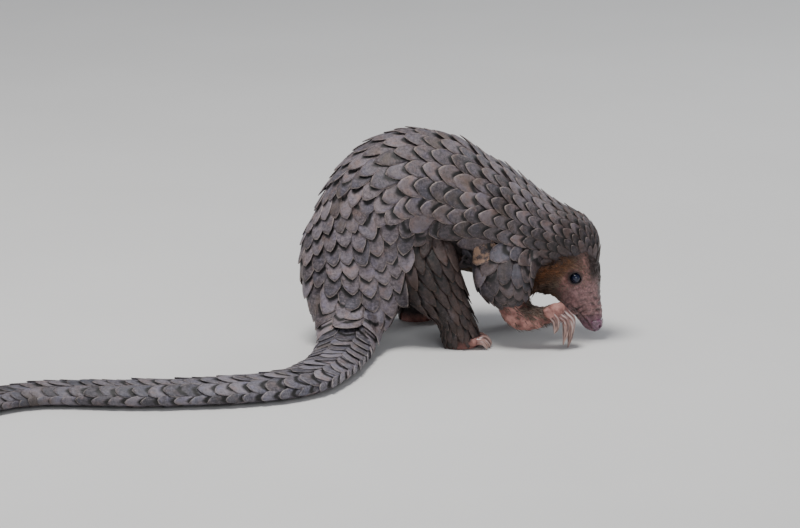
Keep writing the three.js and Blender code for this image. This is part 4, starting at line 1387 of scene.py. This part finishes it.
def skin_finish():
    """Bare skin: pink-grey muzzle, brown cheeks and throat, pink paws, dark lids and brow."""
    n = Finish("bare_skin")
    fine, broad = n.noise(1100.0), n.noise(120.0, 4.0)
    mottle = n.ramp(broad, 0.36, 0.66)
    blotches = n.ramp(n.noise(260.0, 4.0, 0.7), 0.42, 0.62)
    colour = n.blend(mottle, PINK_DARK, PINK_LIGHT)
    for zone, other in (
        ("muzzle", n.blend(blotches, MUZZLE_DARK, MUZZLE_LIGHT)),
        ("cheek", n.blend(mottle, CHEEK_DARK, CHEEK_LIGHT)),
        ("belly", BELLY),
        ("tan", n.blend(mottle, TAN_DARK, TAN_LIGHT)),
        # Painted shade in the creases of the muzzle's folds
        ("fold", FOLD_SHADE),
        ("moist", n.blend(blotches, MOIST_DARK, MOIST_LIGHT)),
        ("shade", SHADED),
    ):
        colour = n.blend(n.own(zone), colour, other)
    colour = n.blend(n.ramp(n.noise(480.0, 4.0, 0.65), 0.5, 0.68, 0.0, 0.3), colour, SPECK)
    muzzle = n.own("muzzle")
    return n.done({
        "Base Color": colour,
        "Roughness": 0.48 - muzzle * 0.22 + fine * 0.25,
        "Coat Weight": muzzle * 0.35,
        "Coat Roughness": 0.18,
        "Subsurface Weight": 0.06,
        "Subsurface Radius": (0.003, 0.0015, 0.001),
    }, fine + n.noise(320.0) * 2.0, 0.0009, 0.9)


def plain_finish(name, colour, other, fineness, roughness, coat=0.0, relief=0.0):
    """Two colours in soft blotches."""
    n = Finish(name)
    colour = n.blend(n.ramp(n.noise(fineness), 0.35, 0.68), colour, other)
    values = {"Base Color": colour, "Roughness": roughness, "Coat Weight": coat, "Coat Roughness": 0.1}
    return n.done(values, n.noise(fineness * 3, 2.0), relief)


def claw_finish():
    """Pinkish horn with dark streaks and pale ones that are partly painted highlights, darker towards the
    root and clear at the tip.
    """
    n = Finish("claw_horn")
    streaks = n.noise(1.0, 2.0, at=n.own("grain", "Vector") * (0.75, 0.75, 0.07))
    colour = n.blend(n.ramp(n.own("reach"), 0.05, 0.75), CLAW_ROOT, CLAW_TIP)
    colour = n.blend(n.ramp(streaks, 0.50, 0.62, 0.0, 0.85), colour, STREAK_DARK)
    # Pale streaks, partly painted highlights
    colour = n.blend(n.ramp(streaks, 0.46, 0.36, 0.0, 0.7), colour, PALE_STREAK_AND_HIGHLIGHT)
    return n.done({"Base Color": colour, "Roughness": 0.33, "Coat Weight": 0.2}, streaks, 0.0004)


def hair_finish():
    """Hair: rust-brown on cheeks and throat, grey-brown elsewhere, paler on the belly and at the tips."""
    n = Finish("hair")
    tone, rust = n.own("tone"), n.own("rust")
    strong = n.ramp(tone, 0.2, 0.9)
    colour = n.blend(rust, n.blend(strong, *GREY_HAIR), n.blend(strong, *RUST_HAIR))
    colour = n.blend(n.ramp(n.noise(110.0, 2.0), 0.36, 0.56, 0.75, 0.0), colour, DAMP_HAIR)
    colour = n.blend(n.own("pale"), colour, n.blend(n.ramp(tone, 0.1, 0.9), *PALE_HAIR))
    colour = n.blend(n.ramp(n.own("reach"), 0.0, 1.0, 0.0, 0.3), colour, n.blend(rust, GREY_TIP, RUST_TIP))
    return n.done({"Base Color": n.blend(n.own("shade"), colour, SHADED_HAIR), "Roughness": 0.5})


body_horn = scale_finish("scale_horn", HORN_DARK, HORN_LIGHT, HORN_EDGE, HORN_DUST)
tail_horn = scale_finish("tail_horn", TAIL_DARK, TAIL_LIGHT, TAIL_EDGE, TAIL_DUST)
skin_material = skin_finish()
hair_material = hair_finish()
nose_material = plain_finish("nose_leather", NOSE_DARK, NOSE_LIGHT, 420.0, 0.2, 1.0, 0.0003)
claw_material = claw_finish()
eye_material = plain_finish("eye_dark", EYE_DARK, EYE_LIGHT, 120.0, 0.06)
floor_material = plain_finish("floor", FLOOR_DARK, FLOOR_LIGHT, 3.0, 0.9)


# Skin by place

# How far out of a tube's own oval a spot may lie to be counted as on trunk, tail, limb or forearm
ON_TRUNK, ON_TAIL, ON_LIMB, ON_FOREARM = 1.3, 1.25, 1.08, 1.25
SPOTS_AT_ONCE = 4000

# Zones of head and belly: between which distances back from the nose they set in and end, and between
# which turns from the brow
HEAD_END = 135
CHEEK_START, CHEEK_END, CHEEK_SIDE = (58, 78), (112, 132), (1.1, 1.6)
JAW_START, JAW_SIDE, JAW_SHADE = (30, 50), (2.2, 2.7), (34, 60)
THROAT_START, THROAT_SIDE = (44, 70), (1.9, 2.5)
BELLY_BACK, BELLY_SIDE, BELLY_END = (110, 140), (2.2, 2.6), (425, 440)
BROW_START, BROW_SIDE = (44, 56), (0.85, 1.25)
BRIDGE_START, BRIDGE_SIDE = (22, 40), (0.45, 0.8)
MUZZLE_FADE, MUZZLE_END, MOIST_END = (46, 66), (66, 84), (13, 21)

# Lids and hairless rim by the distance from the eye
LID_EDGE, LID_SOFT, HAIRLESS = 6.2, 1.7, (6.5, 9)


def tube_places(tube, spots, step=3.0):
    """Nearest length along a tube and turn round it, for each spot, and how far out it lies."""
    alongs = np.arange(0, tube.length, step)
    centres, ahead, back, right, size = tube.frame(alongs)
    found = []
    for start in range(0, len(spots), SPOTS_AT_ONCE):
        some = spots[start : start + SPOTS_AT_ONCE]
        near = ((some[:, None, :] - centres[None]) ** 2).sum(2).argmin(1)
        off = some - centres[near]
        x, y = (off * right[near]).sum(1) / size[near, 0], (off * back[near]).sum(1)
        y = y / np.where(y > 0, size[near, 1], size[near, 2])
        found.append((alongs[near] + (off * ahead[near]).sum(1), np.arctan2(x, y), np.hypot(x, y)))
    return (np.concatenate(values) for values in zip(*found))


skin_spots = places_of(skin.data) / MM - ORIGIN
skin_normals = values_of(skin.data.vertex_normals, "vector", 3, float)
skin_along, skin_turn, skin_out = tube_places(trunk, skin_spots)
back, side = trunk.length - skin_along, np.abs(skin_turn)
on_trunk = (skin_out < ON_TRUNK).astype(float)
head = on_trunk * (back < HEAD_END)

# Under scales: trunk, tail and limbs
*_, out = tube_places(tail, skin_spots, 5.0)
covered = np.maximum(scaly(skin_along, skin_turn) * on_trunk, (out < ON_TAIL) & (skin_spots[:, 1] < -50))
for tube in limbs.values():
    along, _, out = tube_places(tube, skin_spots)
    covered = np.maximum(covered, (out < ON_LIMB) * smooth(along, 8, 16) * (back > 110))

# Zones of head and belly, each from 0 to 1
to_eye = np.minimum.reduce([
    np.linalg.norm(skin_spots - face_place(EYE_BACK, sign * EYE_TURN)[0], axis=1) for sign in (1, -1)
])
at_mouth = np.exp(-(((side - mouth_turn(back)) * 12) ** 2)) * (1 - smooth(back, 31, 36)) * on_trunk
cheek = head * smooth(back, *CHEEK_START) * (1 - smooth(back, *CHEEK_END)) * smooth(side, *CHEEK_SIDE)
cheek = np.maximum(cheek, 0.8 * head * smooth(side, *JAW_SIDE) * smooth(back, *JAW_START))
throat = head * smooth(side, *THROAT_SIDE) * smooth(back, *THROAT_START)
belly = smooth(side, *BELLY_SIDE) * smooth(back, *BELLY_BACK) * on_trunk
lids = 0.95 * ridge(np.maximum(to_eye - LID_EDGE, 0), 0, LID_SOFT)
brow = 0.92 * head * smooth(back, *BROW_START) * (1 - smooth(side, *BROW_SIDE))
bridge = 0.75 * head * smooth(back, *BRIDGE_START) * (1 - smooth(side, *BRIDGE_SIDE))
before_scales = 0.7 * head * smooth(back - np.interp(side, BROW_TURN, BROW_BACK), -9, -2)
under_jaw = 0.6 * head * smooth(side, *THROAT_SIDE) * smooth(back, *JAW_SHADE)
shade = np.maximum.reduce([covered, lids, 0.85 * at_mouth, brow, bridge, before_scales, under_jaw])
shade = np.clip(shade, 0, 1)

# Hair: how dense it grows and how long it is, in millimetres, and how far the throat's stands off
THROAT_STANDS = 0.95
FOREARM_HAIR, BELLY_HAIR = 6.5, 8.0
open_skin = (1 - covered) * smooth(to_eye, *HAIRLESS) * (1 - 0.9 * at_mouth)
face_dense = head * open_skin * smooth(back, 15, 22) * (0.05 + 0.35 * smooth(back, 40, 56) + 0.9 * cheek)
face_length = 1.3 + 2.2 * smooth(back, 34, 56) + 3.5 * cheek * smooth(back, 55, 80) + 6.0 * throat
belly_dense = belly * open_skin * (1 - smooth(back, *BELLY_END))
upper = 0.06 + 0.94 * smooth(skin_normals[:, 2], 0.1, 0.85)
forearm_dense = np.zeros(len(skin_spots))
for tube in forearms.values():
    along, _, out = tube_places(tube, skin_spots)
    forearm_dense = np.maximum(forearm_dense, (out < ON_FOREARM) * smooth(along, 12, 24) * upper)
forearm_dense *= (1 - covered) * (skin_out > 1.1)

for name, values in {
    "cheek": np.clip(cheek * 0.9, 0, 1),
    "muzzle": head * (1 - 0.75 * smooth(back, *MUZZLE_FADE) - 0.25 * smooth(back, *MUZZLE_END)),
    "belly": belly,
    "moist": head * (1 - smooth(back, *MOIST_END)),
    "shade": shade,
    # Painted shade in the creases between the muzzle's folds
    "fold": 0.8 * head * smooth(-muzzle_folds(back, skin_turn), 0.05, 0.5),
    "tan": 0.9 * smooth(forearm_dense, 0.15, 0.8),
}.items():
    put_attribute(skin, name, values)
skin.data.materials.clear()
skin.data.materials.append(skin_material)
skin.data.shade_smooth()
corners = values_of(skin.data.loop_triangles, "vertices", 3, np.int32)


def grow(name, dense, lengths, pale, per_area):
    """Hair over the skin where `dense` says, `per_area` locks on a square millimetre at its densest."""
    a, b, c = (skin_spots[corners[:, k]] for k in range(3))
    weight = np.linalg.norm(np.cross(b - a, c - a), axis=1) / 2 * dense[corners].mean(1)
    number = int(weight.sum() * per_area)
    vertex = corners[rng.choice(len(corners), number, p=weight / weight.sum())]
    one, two = rng.random(number), rng.random(number)
    one, two = np.where(one + two > 1, 1 - one, one), np.where(one + two > 1, 1 - two, two)
    share = np.stack([1 - one - two, one, two], 1)[:, :, None]
    roots = (skin_spots[vertex] * share).sum(1)
    outs = unit((skin_normals[vertex] * share).sum(1))
    first = vertex[:, 0]
    # Hair lies back from the nose along the body, or down a limb, and stands off at the throat
    lies = -trunk.frame(skin_along[first])[1] + np.array([0, 0, -0.45]) + rng.normal(0, 0.22, (number, 3))
    on_limb = skin_out[first] > 1.35
    lies[on_limb] = np.array([0.75, 0, -0.6]) + rng.normal(0, 0.22, (int(on_limb.sum()), 3))
    lies = unit(lies - outs * (lies * outs).sum(1)[:, None])
    raised = THROAT_STANDS * throat[first][:, None]
    lies, outs = unit(lies + raised * outs), unit(outs - raised * lies)
    length = lengths[first] * rng.uniform(0.65, 1.25, number)
    thick = length * rng.uniform(0.8, 1.3, number)
    # Each lock has its patch of the map where its root lies on the skin
    patch = np.stack([
        0.01 + 0.6 * skin_along[first] / trunk.length + 0.37 * on_limb * (skin_spots[first, 0] - 100) / 150,
        0.01 + 0.97 * (skin_turn[first] / FULL_TURN + 0.5),
        np.zeros(number),
    ], 1)
    holder = mesh_in_metres(name, metres(roots), [])
    for key, values in {
        "out": outs,
        "lie": lies,
        "size": np.stack([thick, length, thick], 1) * MM,
        "tone": rng.random(number),
        "pale": pale[first],
        "rust": np.clip(1.5 * cheek[first], 0, 1),
        "shade": shade[first],
        "patch": np.clip(patch, 0, 0.99),
    }.items():
        put_attribute(holder, key, values)
    piece = grown(holder, hair_nodes, Form=lock, Finish=hair_material)
    mesh = piece.data
    lift_off_floor(mesh)
    places, vertex = map_of(mesh)
    put_map(mesh, places * LOCK_PATCH + get_attribute(mesh, "patch", 3)[vertex][:, :2])
    drop_attributes(mesh, ("out", "lie", "size", "patch"))
    return piece


# Pieces

hair_face = grow("hair_face", face_dense, face_length, 0.35 * (1 - cheek) * head, 1.25)
hair_body = grow(
    "hair_body",
    np.maximum(0.3 * belly_dense, forearm_dense),
    np.where(forearm_dense > 0, FOREARM_HAIR, BELLY_HAIR),
    np.maximum(0.35 * belly, 0.15),
    0.75,
)

scales_right = lay_scales("scales_right", [s for s in over_trunk if s["right"]], body_horn)
scales_left = lay_scales("scales_left", [s for s in over_trunk if not s["right"]], body_horn)
scales_limbs = lay_scales("scales_limbs", over_limbs, body_horn)
scales_tail = lay_scales("scales_tail", list(tail_scales()), tail_horn)

claws = joined("claws", claw_grids)
put_attribute(claws, "reach", np.concatenate(claw_reach))
put_attribute(claws, "grain", np.concatenate(claw_grain))
claws.data.materials.append(claw_material)

# The nose pad: its height over the skin, and its nostrils and the furrow between them
PAD_RISE = 0.5
NOSTRIL_BACK, NOSTRIL_TURN, NOSTRIL_LONG, NOSTRIL_WIDE, NOSTRIL_DEPTH = 5.4, 0.95, 1.7, 1.9, 3.0
NOSTRIL_RIM = 0.6
FURROW_DEPTH, FURROW_WIDE, FURROW_END = 0.7, 0.7, (7, 10)


def nose_relief(along, turn):
    """The moist pad on the end of the muzzle: a round rim, two nostrils and a furrow between them."""
    back, side = trunk.length - along, np.abs(turn)
    round_it = trunk.frame(along)[4].mean(1)
    chin, rim = smooth(side, CHIN_TURN, 2.0), smooth(back, NOSE_BACK - 1.6, NOSE_BACK + 1)
    relief = PAD_RISE - 2.2 * chin - 2.4 * rim
    for sign in (1, -1):
        across = (turn - sign * NOSTRIL_TURN) * round_it
        hole = np.hypot((back - NOSTRIL_BACK) / NOSTRIL_LONG, across / NOSTRIL_WIDE)
        relief -= NOSTRIL_DEPTH * (1 - smooth(hole, 0.4, 1.0))
        relief += NOSTRIL_RIM * ridge(hole, 1.35, 0.4)
    relief -= FURROW_DEPTH * ridge(turn * round_it, 0, FURROW_WIDE) * (1 - smooth(back, *FURROW_END))
    return relief - blunt(back, turn)


nose_rings = trunk.length - np.concatenate([[13.5, 13.0], np.arange(12.4, 0.3, -0.3), [0.15]])
nose = joined("nose_pad", [tube_grid(trunk, nose_rings, 96, 0.0, nose_relief)])
nose.data.materials.append(nose_material)

eyes = {}
for word, sign in (("right", 1), ("left", -1)):
    spot, out = face_place(EYE_BACK, sign * EYE_TURN)
    centre = spot - out * EYE_SUNK
    ball = Tube([
        (centre - out * EYE_RADIUS * math.cos(a), (0.3, 0.2, 1), (max(EYE_RADIUS * math.sin(a), 0.02),) * 3)
        for a in np.linspace(0, math.pi, 25)
    ])
    eyes[word] = joined("eyeball_" + word, [tube_grid(ball, np.linspace(0, ball.length, 40), 40)])
    eyes[word].data.materials.append(eye_material)

for spare in (body, plate, lock):
    bpy.data.objects.remove(spare)

legs = ["hind_right_leg", "hind_left_leg", "fore_right_arm", "fore_left_arm"]
feet = ["fore_right_paw", "fore_left_paw", "hind_right_foot", "hind_left_foot"]
tail_lengths = ["tail_base", "tail_middle", "tail_end", "tail_tip"]
for piece, slot, replaced in (
    (skin, "skin", ["torso", "neck", "head", *legs, *feet, *tail_lengths]),
    (scales_right, "scales", ["torso"]),
    (scales_left, "scales", ["neck"]),
    (scales_limbs, "scales", legs),
    (scales_tail, "scales", tail_lengths),
    (hair_face, "skin", ["head"]),
    (hair_body, "skin", ["torso"]),
    (claws, "skin", feet),
    (nose, "nose", ["nose"]),
    (eyes["right"], "eye", ["eye_right"]),
    (eyes["left"], "eye", ["eye_left"]),
):
    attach(piece, "root")
    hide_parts(*replaced)

# Floor, light and camera

# Corners of the floor and middle of the animal in metres, width of the photo in pixels and of the
# camera's sensor in millimetres
FLOOR_CORNERS = [(-6, -6, 0), (6, -6, 0), (6, 6, 0), (-6, 6, 0)]
MIDDLE = (0.05, 0, 0.1)
PHOTO_WIDTH = 800
SENSOR_WIDTH = 36

floor = mesh_in_metres("floor", FLOOR_CORNERS, [range(4)])
floor.data.materials.append(floor_material)

world = bpy.data.worlds.new("studio")
world.use_nodes = True
sky = world.node_tree.nodes["Background"].inputs
sky["Color"].default_value = (0.86, 0.9, 1.0, 1)
sky["Strength"].default_value = 0.3
bpy.context.scene.world = world


def area_light(name, at, size, power, colour):
    """A round lamp that shines on the middle of the animal."""
    light = bpy.data.lights.new(name, "AREA")
    light.shape, light.size, light.energy, light.color = "DISK", size, power, colour
    lamp = in_scene(name, light)
    lamp.location = at
    lamp.rotation_euler = (Vector(MIDDLE) - Vector(at)).to_track_quat("-Z", "Y").to_euler()


area_light("key", (-0.35, -0.15, 2.4), 1.0, 58, (1, 0.99, 0.975))
area_light("fill", (0.9, -2.2, 1.0), 1.5, 15, (0.95, 0.97, 1))
area_light("back", (1.4, 1.6, 1.2), 1.2, 10, (0.92, 0.96, 1))

ahead = Vector((0, math.cos(PHOTO_ELEVATION), -math.sin(PHOTO_ELEVATION)))
photo = bpy.data.cameras.new("photo")
photo.sensor_width = SENSOR_WIDTH
photo.lens = SENSOR_WIDTH * PHOTO_FAR / PHOTO_WIDTH
photo.clip_end = 40
camera = in_scene("photo", photo)
camera.location = Vector(metres(PHOTO_AIM)) - ahead * PHOTO_FAR * MM
camera.rotation_euler = ahead.to_track_quat("-Z", "Y").to_euler()
bpy.context.scene.camera = camera
